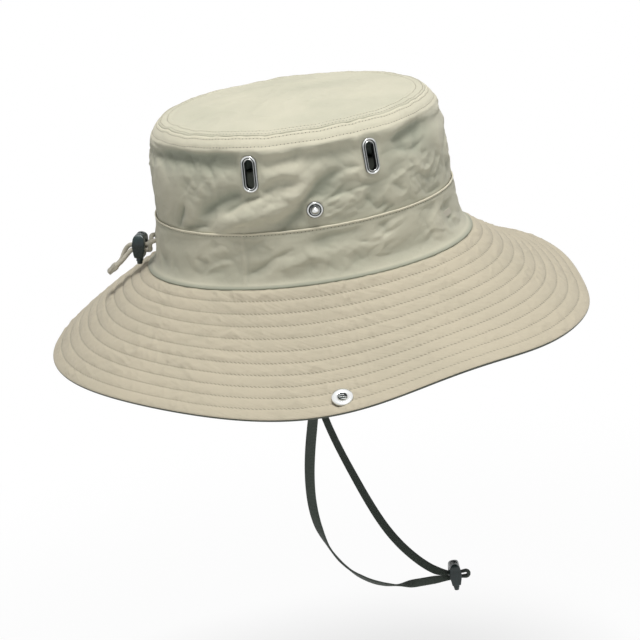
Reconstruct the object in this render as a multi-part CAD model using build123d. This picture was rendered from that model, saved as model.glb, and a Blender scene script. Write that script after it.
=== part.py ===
"""Wide-brimmed boonie hat with snap-up sides, vent eyelets, a rear drawcord and a chin strap.

Millimetres. +Z points up the crown, the front of the hat looks toward -Y and the wearer's right-hand side
is toward -X. The origin is the centre of the head opening, in the plane of the crown-to-brim seam.
"""
import os
from math import asin, cos, exp, pi, radians, sin, sqrt, tan

from build123d import *

# ---- crown ----------------------------------------------------------------------------------------------
CROWN_HALF_LENGTH = 95.3        # half of the front-to-back size at mid height
CROWN_HALF_WIDTH = 83.0         # half of the side-to-side size at mid height
CROWN_HEIGHT = 93.8
SEAM_FLARE_LENGTH = 11.3        # how far the wall flares out at the brim seam, front and back
SEAM_FLARE_WIDTH = 5.2          # the same at the sides
FLARE_HEIGHT = 12.0             # height over which the flare dies out
SHOULDER_DROP_LENGTH = 8.2      # how far the wall rounds in at the top seam, front and back
SHOULDER_DROP_WIDTH = 4.0       # the same at the sides
SHOULDER_POWER = 9
WALL_THICKNESS = 1.0
TOP_DOME = 5.2
TOP_THICKNESS = 1.0

# ---- band, sweatband and seam tape ----------------------------------------------------------------------
BAND_HEIGHT = 34.0
BAND_THICKNESS = 0.8
SWEATBAND_THICKNESS = 1.2
TAPE_BOTTOM = 84.6
TAPE_TOP = 92.5
TAPE_THICKNESS = 0.6
LAYER_GAP = 0.05                # air between two layers of cloth that lie on each other
# height of each level of the crown wall, and how far the wall lies inside the outer form there:
# it steps inward behind the band to leave the drawcord's tunnel
WALL_LEVELS = [(0, 1.0), (3, 1.9), (8, 2.3), (17, 2.4), (26, 1.7), (34, 0.95), (42, 0.3), (52, 0.0),
               (70, 0.0), (84, 0.0), (90, 0.0), (CROWN_HEIGHT, 0.0)]

# ---- brim -----------------------------------------------------------------------------------------------
BRIM_WIDTH_MEAN = 91.5          # along the cloth, seam to rim
BRIM_WIDTH_SWING = 2.0          # wider at the sides
BRIM_WIDTH_LEAN = -3.5          # wider in front, narrower at the rear
BRIM_SLOPE_MEAN = 33.8          # degrees below level, at half width
BRIM_SLOPE_SWING = 1.8          # steeper at the sides
BRIM_SLOPE_QUARTER = 3.6        # flatter between the sides and the ends
BRIM_SLOPE_LEAN = 1.3           # steeper toward the rear
BRIM_SLOPE_THIRD = 2.9          # dips again in front
BRIM_CURL_MEAN = 20.0           # degrees of flare from the seam to the rim
BRIM_CURL_SWING = 14.0          # flares more at the sides, and is nearly straight front and back
BRIM_ROOT = 0.1                 # share of the width that runs on inward before it is cut at the seam
UPPER_THICKNESS = 0.8
INTERLINING_THICKNESS = 0.85
UNDERSIDE_THICKNESS = 0.8
UPPER_GAP = 0.2                 # air under the upper cloth, which is puffed between its stitch rows
BRIM_THICKNESS = UPPER_THICKNESS + UPPER_GAP + INTERLINING_THICKNESS + LAYER_GAP + UNDERSIDE_THICKNESS
RIM_TURN = 1.2                  # width of the upper cloth turned round the rim
SECTION_STEP = 20               # degrees between two sections of the brim
SECTION_END = 120               # the sections run past the middle, where the half is cut
FIXED_HALF_WIDTH = 95.0         # the brim is held by the crown out to here
FLAP_INNER_X = 115.0            # and swings freely from here outward

# ---- snap fasteners -------------------------------------------------------------------------------------
SNAP_Y = -4.0
STUD_HEIGHT_ON_WALL = 45.0
STUD_SEAT = 0.2                 # the stud's base stands this far off the wall at its middle
STUD_FLANGE_RADIUS = 5.5
STUD_FLANGE_THICKNESS = 0.8
STUD_NECK_RADIUS = 1.7
STUD_BALL_RADIUS = 2.35
STUD_STANDS = 4.0               # wall to the crown of the ball
STUD_POST_RADIUS = 1.2
SOCKET_PLACE = 0.88             # share of the brim's width, seam to rim
SOCKET_SEAT = 0.17              # the socket's base stands this far off the hollow brim at its middle
SOCKET_RADIUS = 6.65
SOCKET_HEIGHT = 2.4
SOCKET_MOUTH_RADIUS = 3.0
SOCKET_POCKET_RADIUS = 4.5
SOCKET_POST_RADIUS = 3.3
SPRING_WIRE = 0.6
SPRING_SPACING = 3.4            # between the middles of the two wires that grip the ball
SNAP_CAP_RADIUS = 6.4
SNAP_LEAN = 8.0                 # degrees that the closed flap leans its rim toward the crown
SNAP_AIR = 1.3                  # between the stud's flange and the socket when they are closed

# ---- vent eyelets ---------------------------------------------------------------------------------------
EYELET_HEIGHT = 71.3
EYELET_Y = (-42.0, 32.2)        # front and rear
EYELET_LENGTH = 24.0
EYELET_WIDTH = 10.4
EYELET_HOLE_LENGTH = 19.4
EYELET_HOLE_WIDTH = 5.8
EYELET_BARREL_WALL = 0.5
EYELET_RISE = 1.3
EYELET_STANDOFF = 0.1
WASHER_THICKNESS = 0.7
WASHER_DEPTH = 1.95             # below the outside of the wall

# ---- cord locks -----------------------------------------------------------------------------------------
LOCK_TOP = 10.8
LOCK_TOP_RADIUS = 6.8
LOCK_BOTTOM = -6.9
LOCK_BOTTOM_HALF_WIDTH = 4.8
LOCK_HALF_THICKNESS = 4.2
LOCK_WINDOW_WIDTH = 4.4
LOCK_WINDOW_LOW = -3.4
LOCK_WINDOW_HIGH = 5.9
LOCK_BORE = (6.8, 4.4, 7.3)     # width, thickness and top of the plunger's bore
PLUNGER_SECTION = (6.6, 4.2)
PLUNGER_TIP = -11.2
PLUNGER_BRIDGE = 1.2
PLUNGER_TRAVEL = 2.5
COIL_RADIUS = 1.6
COIL_WIRE = 0.45
COIL_TURNS = 3.5
COIL_BORE_RADIUS = 2.1
COIL_TOP = 9.6

# ---- chin strap and drawcord ----------------------------------------------------------------------------
STRAP_DIAMETER = 3.2            # round section of the same area as the flat braid, 5.7 x 1.4
STRAP_END_X = 81.2
STRAP_END_Y = -3.0
STRAP_END_SIZE = (8.0, 7.0, 12.0)
CHIN_LOCK_PLACE = (0.0, -69.1, -254.0)
STRAP_ROUTE = [
    (-81.2, -3.0, 0.0), (-81.2, -3.0, -16.0), (-78.0, 1.0, -36.0), (-71.5, 6.0, -58.0),
    (-63.5, 10.6, -80.0), (-56.5, 14.6, -102.0), (-51.3, 18.9, -123.6), (-47.9, 21.8, -144.0),
    (-44.2, 22.8, -164.6), (-40.5, 21.0, -184.0), (-36.0, 16.0, -202.0), (-30.5, 8.6, -218.0),
    (-25.0, -1.4, -231.6), (-19.5, -13.8, -242.4), (-13.5, -28.2, -249.6), (-7.0, -42.5, -252.6),
    (-2.2, -54.5, -254.6), (0.0, -64.5, -255.7), (0.0, -74.2, -255.7), (0.0, -77.4, -256.4),
    (0.0, -79.2, -254.0), (0.0, -77.4, -251.6), (0.0, -74.2, -252.3), (0.0, -64.5, -252.3),
    (2.4, -55.0, -249.6), (7.5, -44.0, -241.6), (14.0, -33.2, -230.6), (21.0, -24.2, -217.6),
    (27.5, -16.0, -200.6), (33.5, -8.6, -182.6), (39.5, -1.2, -163.6), (45.5, 5.2, -143.6),
    (51.5, 9.6, -122.6), (57.5, 12.0, -101.6), (64.0, 11.6, -80.0), (71.5, 8.0, -58.0),
    (78.0, 2.4, -36.0), (81.2, -3.0, -16.0), (81.2, -3.0, 0.0)]
CORD_DIAMETER = 3.0
CORD_HEIGHT_IN_BAND = 17.5
CORD_EXIT_X = 7.0
REAR_LOCK_PLACE = (0.0, 110.2, 12.6)
REAR_LOCK_LEAN = 9.6            # degrees, top toward the crown
REAR_LOCK_TURN = 12.0           # degrees about its own length
RIGHT_CORD_ROUTE = [
    (-7.0, 97.7, 17.5), (-7.0, 101.9, 17.5), (-5.4, 103.7, 14.0), (-3.2, 103.3, 10.6),
    (-1.12, 105.27, 10.09), (1.12, 115.68, 11.85), (0.3, 119.3, 8.6), (-1.6, 123.7, 4.8),
    (-1.6, 127.5, 2.2)]
LEFT_CORD_ROUTE = [
    (7.0, 97.7, 17.5), (7.0, 100.8, 17.5), (4.0, 102.2, 17.9), (0.6, 102.1, 16.2),
    (-1.12, 104.72, 13.35), (1.12, 115.13, 15.11), (2.9, 118.8, 13.2), (3.0, 121.6, 9.2),
    (1.6, 123.7, 4.8), (1.6, 127.5, 2.2)]
TAIL_DROP = 34.4                # degrees below level
TAIL_END_LENGTH = 7.4
TAIL_END_WIDTH = 8.0
TAIL_END_THICKNESS = 4.6


# ---- crown form -----------------------------------------------------------------------------------------
def crown_half_axes(z, inset=0.0):
    """Half width and half length of the crown's oval at height z, moved inward by inset."""
    flare = exp(-((z / FLARE_HEIGHT) ** 0.6))
    shoulder = (z / CROWN_HEIGHT) ** SHOULDER_POWER
    half_width = CROWN_HALF_WIDTH + SEAM_FLARE_WIDTH * flare - SHOULDER_DROP_WIDTH * shoulder
    half_length = CROWN_HALF_LENGTH + SEAM_FLARE_LENGTH * flare - SHOULDER_DROP_LENGTH * shoulder
    return half_width - inset, half_length - inset


def oval_loft(levels):
    """Solid through one oval at each (height, inset)."""
    return loft([Pos(0, 0, z) * Ellipse(*crown_half_axes(z, inset)) for z, inset in levels])


def cloth_ring(levels, thickness):
    """Ring of cloth whose outside runs through the (height, inset) levels."""
    inside = [(z, inset + thickness) for z, inset in levels]
    return oval_loft(levels) - oval_loft(inside)


def wall_inset(z):
    """How far the crown wall's outside lies inside the outer form at height z."""
    for (z0, inset0), (z1, inset1) in zip(WALL_LEVELS, WALL_LEVELS[1:]):
        if z <= z1:
            return inset0 + (inset1 - inset0) * (z - z0) / (z1 - z0)
    return 0.0


def wall_plane(y, z):
    """Plane on the outside of the left wall: local X up the wall, local Z straight out of it."""
    def point(angle, height):
        half_width, half_length = crown_half_axes(height, wall_inset(height))
        return Vector(half_width * cos(angle), half_length * sin(angle), height)

    angle = asin(y / crown_half_axes(z)[1])
    upward = point(angle, z + 1) - point(angle, z - 1)
    rearward = point(angle + 0.01, z) - point(angle - 0.01, z)
    return Plane(origin=point(angle, z), x_dir=upward, z_dir=rearward.cross(upward))


# ---- crown parts ----------------------------------------------------------------------------------------
def crown_side_panel():
    """Left half of the crown's wall, with its eyelets' slots and the stud's post hole."""
    half = Pos(200, 0, 0) * Box(400, 400, 400)
    wall = cloth_ring(WALL_LEVELS, WALL_THICKNESS) & half
    cutters = []
    for y in EYELET_Y:
        slot = SlotOverall(EYELET_HOLE_LENGTH + 4 * EYELET_BARREL_WALL,
                           EYELET_HOLE_WIDTH + 4 * EYELET_BARREL_WALL)
        cutters.append(wall_plane(y, EYELET_HEIGHT) * extrude(slot, 6, both=True))
    cutters.append(wall_plane(SNAP_Y, STUD_HEIGHT_ON_WALL) * Cylinder(STUD_POST_RADIUS + 0.1, 12))
    for cutter in cutters:
        wall = wall - cutter
    return wall


def crown_top_panel():
    """Slightly domed oval lid of the crown, resting on the wall's upper edge."""
    half_width, half_length = crown_half_axes(CROWN_HEIGHT)
    seat = half_length - WALL_THICKNESS
    outline = [
        Line((seat, CROWN_HEIGHT), (half_length, CROWN_HEIGHT)),
        Line((half_length, CROWN_HEIGHT), (half_length, CROWN_HEIGHT + 0.4)),
        ThreePointArc((half_length, CROWN_HEIGHT + 0.4),
                      (half_length * 0.7, CROWN_HEIGHT + TOP_THICKNESS + TOP_DOME * 0.5),
                      (0, CROWN_HEIGHT + TOP_THICKNESS + TOP_DOME)),
        Line((0, CROWN_HEIGHT + TOP_THICKNESS + TOP_DOME), (0, CROWN_HEIGHT + TOP_DOME)),
        ThreePointArc((0, CROWN_HEIGHT + TOP_DOME), (seat * 0.7, CROWN_HEIGHT + TOP_DOME * 0.5),
                      (seat, CROWN_HEIGHT))]
    profile = Plane.XZ * make_face(outline)
    lid = revolve(profile, Axis.Z)
    return scale(lid, by=(half_width / half_length, 1, 1))


def lining_levels(depth=0.0):
    """The wall's levels, moved inward to what lies inside it, and then by depth."""
    return [(z, inset + WALL_THICKNESS + LAYER_GAP + depth) for z, inset in WALL_LEVELS]


def between_heights(low, high):
    """Everything between two level planes."""
    return Pos(0, 0, (low + high) / 2) * Box(400, 400, high - low)


def crown_seam_tape():
    """Binding tape that covers the top seam on the inside of the wall."""
    return cloth_ring(lining_levels(), TAPE_THICKNESS) & between_heights(TAPE_BOTTOM, TAPE_TOP)


def crown_band():
    """Outer band, sewn down at its edges so that it is the drawcord's tunnel, with two cord exits."""
    levels = [(z, 0.0) for z, _ in WALL_LEVELS]
    band = cloth_ring(levels, BAND_THICKNESS) & between_heights(0, BAND_HEIGHT)
    rear = crown_half_axes(CORD_HEIGHT_IN_BAND)[1]
    for x in (-CORD_EXIT_X, CORD_EXIT_X):
        hole = Pos(x, rear, CORD_HEIGHT_IN_BAND) * Rot(90, 0, 0) * Cylinder(CORD_DIAMETER / 2 + 0.3, 12)
        band = band - hole
    return band


def sweatband():
    """Soft band inside the wall that meets the forehead."""
    return cloth_ring(lining_levels(), SWEATBAND_THICKNESS) & between_heights(0, BAND_HEIGHT)


def drawcord_ring():
    """Run of drawcord flattened in the band's tunnel, right round the crown."""
    levels = [(z, BAND_THICKNESS + 0.15) for z in (15.5, 17.5, 19.5)]
    return cloth_ring(levels, 1.1)


# ---- brim -----------------------------------------------------------------------------------------------
def brim_arc(angle):
    """Radius of the brim's concave profile and its slopes at the seam and the rim, in degrees.

    The angle runs round the hat from the left side, 0, to the rear, 90.
    """
    turn = radians(angle)
    swing = cos(2 * turn)
    width = BRIM_WIDTH_MEAN + BRIM_WIDTH_SWING * swing + BRIM_WIDTH_LEAN * sin(turn)
    slope = (BRIM_SLOPE_MEAN + BRIM_SLOPE_SWING * swing + BRIM_SLOPE_QUARTER * cos(4 * turn)
             + BRIM_SLOPE_LEAN * sin(turn) + BRIM_SLOPE_THIRD * sin(3 * turn))
    curl = BRIM_CURL_MEAN + BRIM_CURL_SWING * swing
    return width / radians(curl), slope + curl / 2, slope - curl / 2


def brim_plane(angle):
    """Upright plane across the brim: local X outward from the seam, local Y up."""
    half_width, half_length = crown_half_axes(0)
    c, s = cos(radians(angle)), sin(radians(angle))
    outward = Vector(c / half_width, s / half_length, 0).normalized()
    return Plane(origin=(half_width * c, half_length * s, 0), x_dir=outward,
                 z_dir=outward.cross(Vector(0, 0, 1)))


def brim_section(angle, depth_top, depth_bottom, short=0.0, turn_down=0.0):
    """Section of one layer of the brim between two depths below the top surface.

    short ends the layer that far before the rim; turn_down carries its end down to that depth. Lengths along
    the section are shares of its width, so that the layers' surfaces follow each other from section to section.
    """
    radius, seam_slope, rim_slope = brim_arc(angle)
    centre = Vector(radius * sin(radians(seam_slope)), radius * cos(radians(seam_slope)))
    curl = seam_slope - rim_slope
    root_slope = seam_slope + BRIM_ROOT * curl
    end_slope = rim_slope + short / BRIM_WIDTH_MEAN * curl

    def at(slope, depth):
        reach = radius + depth
        return (centre.X - reach * sin(radians(slope)), centre.Y - reach * cos(radians(slope)))

    def arc(start, end, depth):
        return ThreePointArc(at(start, depth), at((start + end) / 2, depth), at(end, depth))

    if turn_down:
        hook_slope = end_slope + RIM_TURN / BRIM_WIDTH_MEAN * curl
        edges = [arc(root_slope, end_slope, depth_top),
                 Line(at(end_slope, depth_top), at(end_slope, turn_down)),
                 arc(end_slope, hook_slope, turn_down),
                 Line(at(hook_slope, turn_down), at(hook_slope, depth_bottom)),
                 arc(hook_slope, root_slope, depth_bottom),
                 Line(at(root_slope, depth_bottom), at(root_slope, depth_top))]
    else:
        edges = [arc(root_slope, end_slope, depth_top),
                 Line(at(end_slope, depth_top), at(end_slope, depth_bottom)),
                 arc(end_slope, root_slope, depth_bottom),
                 Line(at(root_slope, depth_bottom), at(root_slope, depth_top))]
    return brim_plane(angle) * make_face(edges)


def left_brim_layer(depth_top, depth_bottom, short=0.0, turn_down=0.0):
    """Left half of one layer of the brim, cut level where it is sewn to the crown."""
    sections = [brim_section(angle, depth_top, depth_bottom, short, turn_down)
                for angle in range(-SECTION_END, SECTION_END + 1, SECTION_STEP)]
    half = loft(sections)
    return half & Pos(200, 0, -100) * Box(400, 500, 200)


def brim_layers():
    """Left half of the three layers of the brim, by name."""
    interlining_top = UPPER_THICKNESS + UPPER_GAP
    underside_top = interlining_top + INTERLINING_THICKNESS + LAYER_GAP
    short = RIM_TURN + UPPER_GAP
    return {
        "upper": left_brim_layer(0, UPPER_THICKNESS, turn_down=BRIM_THICKNESS),
        "interlining": left_brim_layer(interlining_top, interlining_top + INTERLINING_THICKNESS, short),
        "underside": left_brim_layer(underside_top, BRIM_THICKNESS, short)}


def slab(x_low, x_high):
    """Everything between two upright planes across the hat."""
    return Pos((x_low + x_high) / 2, 0, -100) * Box(x_high - x_low, 500, 300)


# ---- snap fasteners -------------------------------------------------------------------------------------
def socket_plane():
    """Plane on the left brim's upper surface where the socket sits, local Z out of the cloth."""
    radius, seam_slope, rim_slope = brim_arc(0)
    slope = radians(seam_slope - SOCKET_PLACE * (seam_slope - rim_slope))
    run = radius * (sin(radians(seam_slope)) - sin(slope))
    drop = radius * (cos(slope) - cos(radians(seam_slope)))
    return Plane(origin=(crown_half_axes(0)[0] + run, SNAP_Y, -drop), x_dir=(0, 1, 0),
                 z_dir=(sin(slope), 0, cos(slope)))


def fold_hinge():
    """Place (x, z) and angle of the turn that carries the left socket onto the stud."""
    stud = wall_plane(SNAP_Y, STUD_HEIGHT_ON_WALL)
    socket = socket_plane()
    reach = STUD_SEAT + STUD_FLANGE_THICKNESS + SNAP_AIR + SOCKET_HEIGHT + SOCKET_SEAT
    target = stud.origin + stud.z_dir * reach
    wall_lean = asin(stud.z_dir.Z)
    socket_lean = asin(socket.z_dir.X)
    turn = pi / 2 + wall_lean + radians(SNAP_LEAN) + socket_lean
    move = Vector(target.X - socket.origin.X, 0, target.Z - socket.origin.Z)
    middle = (Vector(target.X, 0, target.Z) + Vector(socket.origin.X, 0, socket.origin.Z)) / 2
    centre = middle + Vector(-move.Z, 0, move.X) / (2 * tan(turn / 2))
    return centre.X, centre.Z, turn / radians(1)


def turned(points_and_arcs):
    """Ring turned about local Z from a closed outline in (radius, height)."""
    return revolve(Plane.XZ * make_face(points_and_arcs), Axis.Z)


def outline_of(points):
    """Closed outline of straight lines."""
    return Polyline(*points, close=True).edges()


def snap_stud():
    """Flange, neck and ball that stand on the crown's wall, with the base at z = 0."""
    ball_low = STUD_STANDS - 2 * STUD_BALL_RADIUS * 0.75
    flange = Cylinder(STUD_FLANGE_RADIUS, STUD_FLANGE_THICKNESS,
                      align=(Align.CENTER, Align.CENTER, Align.MIN))
    flange = fillet(flange.edges().group_by(Axis.Z)[-1], 0.35)
    neck = Cylinder(STUD_NECK_RADIUS, STUD_STANDS - STUD_BALL_RADIUS,
                    align=(Align.CENTER, Align.CENTER, Align.MIN))
    ball = Pos(0, 0, STUD_STANDS - STUD_BALL_RADIUS) * Sphere(STUD_BALL_RADIUS)
    ball = ball & Pos(0, 0, ball_low + 5) * Box(10, 10, 10)
    bore = Pos(0, 0, -0.1) * Cylinder(STUD_POST_RADIUS, 1.6, align=(Align.CENTER, Align.CENTER, Align.MIN))
    return flange + neck + ball - bore


def snap_post():
    """Disc inside the crown whose post passes the wall and is riveted into the stud."""
    disc_top = -(WALL_THICKNESS + 0.15)
    disc = Pos(0, 0, disc_top - 0.5) * Cylinder(4.8, 1.0)
    disc = fillet(disc.edges().group_by(Axis.Z)[0], 0.4)
    post = Pos(0, 0, disc_top) * Cylinder(STUD_POST_RADIUS - 0.03, STUD_SEAT + 1.2 - disc_top,
                                          align=(Align.CENTER, Align.CENTER, Align.MIN))
    return disc + post


def snap_socket():
    """Ring on the brim with a turned-in mouth and a pocket for the spring."""
    lip = 0.5
    points = [(SOCKET_POST_RADIUS + 0.05, 0.02), (SOCKET_RADIUS - 0.25, 0.02), (SOCKET_RADIUS, 0.3),
              (SOCKET_RADIUS, SOCKET_HEIGHT - 0.9), (SOCKET_RADIUS - 0.35, SOCKET_HEIGHT - 0.3),
              (SOCKET_RADIUS - 1.1, SOCKET_HEIGHT), (SOCKET_MOUTH_RADIUS + 0.6, SOCKET_HEIGHT - 0.1),
              (SOCKET_MOUTH_RADIUS, SOCKET_HEIGHT - 0.45),
              (SOCKET_MOUTH_RADIUS, SOCKET_HEIGHT - 0.45 - lip),
              (SOCKET_POCKET_RADIUS, SOCKET_HEIGHT - 0.45 - lip), (SOCKET_POCKET_RADIUS, lip),
              (SOCKET_POST_RADIUS + 0.05, lip)]
    return turned(outline_of(points))


def snap_spring():
    """S-shaped pair of wires across the socket's mouth, joined at their opposite ends."""
    reach = sqrt((SOCKET_POCKET_RADIUS - 0.4) ** 2 - (SPRING_SPACING / 2) ** 2) - 0.3
    half = SPRING_SPACING / 2
    height = 1.1
    path = FilletPolyline((-reach * 0.4, half, height), (reach, half, height), (-reach, -half, height),
                          (reach * 0.4, -half, height), radius=0.45)
    section = Plane(origin=path @ 0, z_dir=path % 0) * Circle(SPRING_WIRE / 2)
    return sweep(section, path=path)


def snap_cap():
    """Domed cap under the brim whose hollow post is flared inside the socket."""
    inner = SOCKET_POST_RADIUS - 0.5
    low = -SOCKET_SEAT - BRIM_THICKNESS - 0.15
    points = [(inner, 0.85), (inner, low - 0.1), (0, low - 0.1), (0, low - 1.1), (3.2, low - 0.95),
              (SNAP_CAP_RADIUS - 0.8, low - 0.5), (SNAP_CAP_RADIUS, low), (SOCKET_POST_RADIUS - 0.05, low),
              (SOCKET_POST_RADIUS - 0.05, 0.55), (SOCKET_POST_RADIUS + 0.6, 0.55),
              (SOCKET_POST_RADIUS + 0.6, 0.75)]
    return turned(outline_of(points))


# ---- vent eyelets ---------------------------------------------------------------------------------------
def vent_eyelet():
    """Obround eyelet: a domed flange outside, a barrel through the wall and a rolled end inside."""
    outer = SlotOverall(EYELET_LENGTH, EYELET_WIDTH)
    hole = SlotOverall(EYELET_HOLE_LENGTH, EYELET_HOLE_WIDTH)
    barrel = SlotOverall(EYELET_HOLE_LENGTH + 2 * EYELET_BARREL_WALL,
                         EYELET_HOLE_WIDTH + 2 * EYELET_BARREL_WALL)
    roll = SlotOverall(EYELET_HOLE_LENGTH + 2.6, EYELET_HOLE_WIDTH + 2.6)
    flange = Pos(0, 0, EYELET_STANDOFF) * extrude(outer, EYELET_RISE)
    flange = fillet(flange.edges().group_by(Axis.Z)[-1], 0.85)
    depth = WASHER_DEPTH + WASHER_THICKNESS + 0.05
    tube = Pos(0, 0, -depth) * extrude(barrel, depth + 0.5)
    rolled = Pos(0, 0, -depth - 0.45) * extrude(roll, 0.45)
    bore = Pos(0, 0, -10) * extrude(hole, 20)
    eyelet = flange + tube + rolled - bore
    return fillet(eyelet.edges().group_by(Axis.Z)[-1], 0.5)


def vent_washer():
    """Obround washer inside the crown, held by the eyelet's rolled end."""
    ring = SlotOverall(EYELET_LENGTH - 1, EYELET_WIDTH - 1)
    ring = ring - SlotOverall(EYELET_HOLE_LENGTH + 2 * EYELET_BARREL_WALL + 0.1,
                              EYELET_HOLE_WIDTH + 2 * EYELET_BARREL_WALL + 0.1)
    return Pos(0, 0, -WASHER_DEPTH - WASHER_THICKNESS) * extrude(ring, WASHER_THICKNESS)


# ---- cord locks -----------------------------------------------------------------------------------------
def obround_bar(width, thickness, low, high):
    """Upright bar of obround section between two heights."""
    return Pos(0, 0, low) * extrude(SlotOverall(width, thickness), high - low)


def lock_window(low, high):
    """Slot along Y through the lock, between two heights."""
    slot = Plane.XZ * Pos(0, (low + high) / 2) * Rot(0, 0, 90) * SlotOverall(high - low, LOCK_WINDOW_WIDTH)
    return extrude(slot, 10, both=True)


def lock_body():
    """Egg-shaped shell of the cord lock: round top, tapering to the plunger's mouth."""
    corner = 1.6
    face = make_hull((Pos(0, LOCK_TOP - LOCK_TOP_RADIUS) * Circle(LOCK_TOP_RADIUS)
                      + Pos(-LOCK_BOTTOM_HALF_WIDTH + corner, LOCK_BOTTOM + corner) * Circle(corner)
                      + Pos(LOCK_BOTTOM_HALF_WIDTH - corner, LOCK_BOTTOM + corner) * Circle(corner)).edges())
    edge = 0.9
    side = make_hull((Pos(0, LOCK_TOP - LOCK_HALF_THICKNESS - 0.6) * Circle(LOCK_HALF_THICKNESS - 0.5)
                      + Pos(0, 1.5) * Circle(LOCK_HALF_THICKNESS)
                      + Pos(-3.0 + edge, LOCK_BOTTOM + edge) * Circle(edge)
                      + Pos(3.0 - edge, LOCK_BOTTOM + edge) * Circle(edge)).edges())
    body = extrude(Plane.XZ * face, 6, both=True) & extrude(Plane.YZ * side, 9, both=True)
    width, thickness, top = LOCK_BORE
    body = body - obround_bar(width, thickness, LOCK_BOTTOM - 1, top)
    body = body - Cylinder(COIL_BORE_RADIUS, COIL_TOP, align=(Align.CENTER, Align.CENTER, Align.MIN))
    return body - lock_window(LOCK_WINDOW_LOW, LOCK_WINDOW_HIGH)


def lock_plunger():
    """Sprung plunger with its own window; its narrow end stands out below."""
    width, thickness = PLUNGER_SECTION
    window_top = -LOCK_WINDOW_LOW
    bar = obround_bar(width, thickness, PLUNGER_TIP, window_top + PLUNGER_BRIDGE)
    tip = obround_bar(width, thickness, PLUNGER_TIP, LOCK_BOTTOM - 2.4)
    bar = bar - (tip - obround_bar(4.6, 3.4, PLUNGER_TIP, LOCK_BOTTOM - 2.4))
    return bar - lock_window(LOCK_WINDOW_LOW - PLUNGER_TRAVEL, window_top)


def lock_spring():
    """Coil spring between the plunger and the top of the bore."""
    low = -LOCK_WINDOW_LOW + PLUNGER_BRIDGE + COIL_WIRE / 2 + 0.02
    height = COIL_TOP - COIL_WIRE / 2 - 0.02 - low
    path = Pos(0, 0, low) * Helix(height / COIL_TURNS, height, COIL_RADIUS)
    section = Plane(origin=path @ 0, z_dir=path % 0) * Circle(COIL_WIRE / 2)
    return sweep(section, path=path)


def rear_lock_plane():
    """Plane that carries the rear cord lock: local Z up its length, local Y through its window."""
    turned_lock = Location(REAR_LOCK_PLACE) * Rot(REAR_LOCK_LEAN, 0, 0) * Rot(0, 0, -REAR_LOCK_TURN)
    return Plane(turned_lock)


# ---- cords ----------------------------------------------------------------------------------------------
def corner_radii(points):
    """Radius of the arc at each corner: as large as its two runs allow."""
    vectors = [Vector(*p) for p in points]
    radii = []
    for before, here, after in zip(vectors, vectors[1:], vectors[2:]):
        run_in, run_out = here - before, after - here
        turn = radians(run_in.get_angle(run_out))
        radii.append(0.45 * min(run_in.length, run_out.length) / tan(turn / 2))
    return radii


def cord_tube(name, points, diameter):
    """Round tube along straight runs joined by tangent arcs; prints its radii, length and volume."""
    radii = corner_radii(points)
    path = FilletPolyline(*points, radius=radii)
    section = Plane(origin=path @ 0, z_dir=path % 0) * Circle(diameter / 2)
    tube = sweep(section, path=path)
    expected = pi * diameter ** 2 / 4 * path.length
    print(name, "length", round(path.length, 1), "volume", round(tube.volume, 1), "of", round(expected, 1),
          "radii", [round(r, 1) for r in radii])
    return tube


def strap_end():
    """Doubled end of the chin strap, sewn to the sweatband's inside on the left."""
    length, width, height = STRAP_END_SIZE
    block = Pos(STRAP_END_X + 0.5, STRAP_END_Y, height / 2) * Box(length, width, height)
    return block & oval_loft(lining_levels(SWEATBAND_THICKNESS + LAYER_GAP))


def drawcord_end():
    """Folded cloth tab sewn over both ends of the drawcord."""
    block = Box(TAIL_END_WIDTH, TAIL_END_LENGTH, TAIL_END_THICKNESS,
                align=(Align.CENTER, Align.MIN, Align.CENTER))
    block = fillet(block.edges(), 1.2)
    block = block & Pos(0, 0.7, 0) * Box(20, 40, 20, align=(Align.CENTER, Align.MIN, Align.CENTER))
    return Pos(0, 127.5, 2.2) * Rot(-TAIL_DROP, 0, 0) * Pos(0, -0.7, 0) * block


# ---- assembly -------------------------------------------------------------------------------------------
def both_sides(name, left_shape):
    """The left piece and its mirror image on the right, by node name."""
    return {f"left_{name}": left_shape, f"right_{name}": mirror(left_shape, Plane.YZ)}


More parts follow.
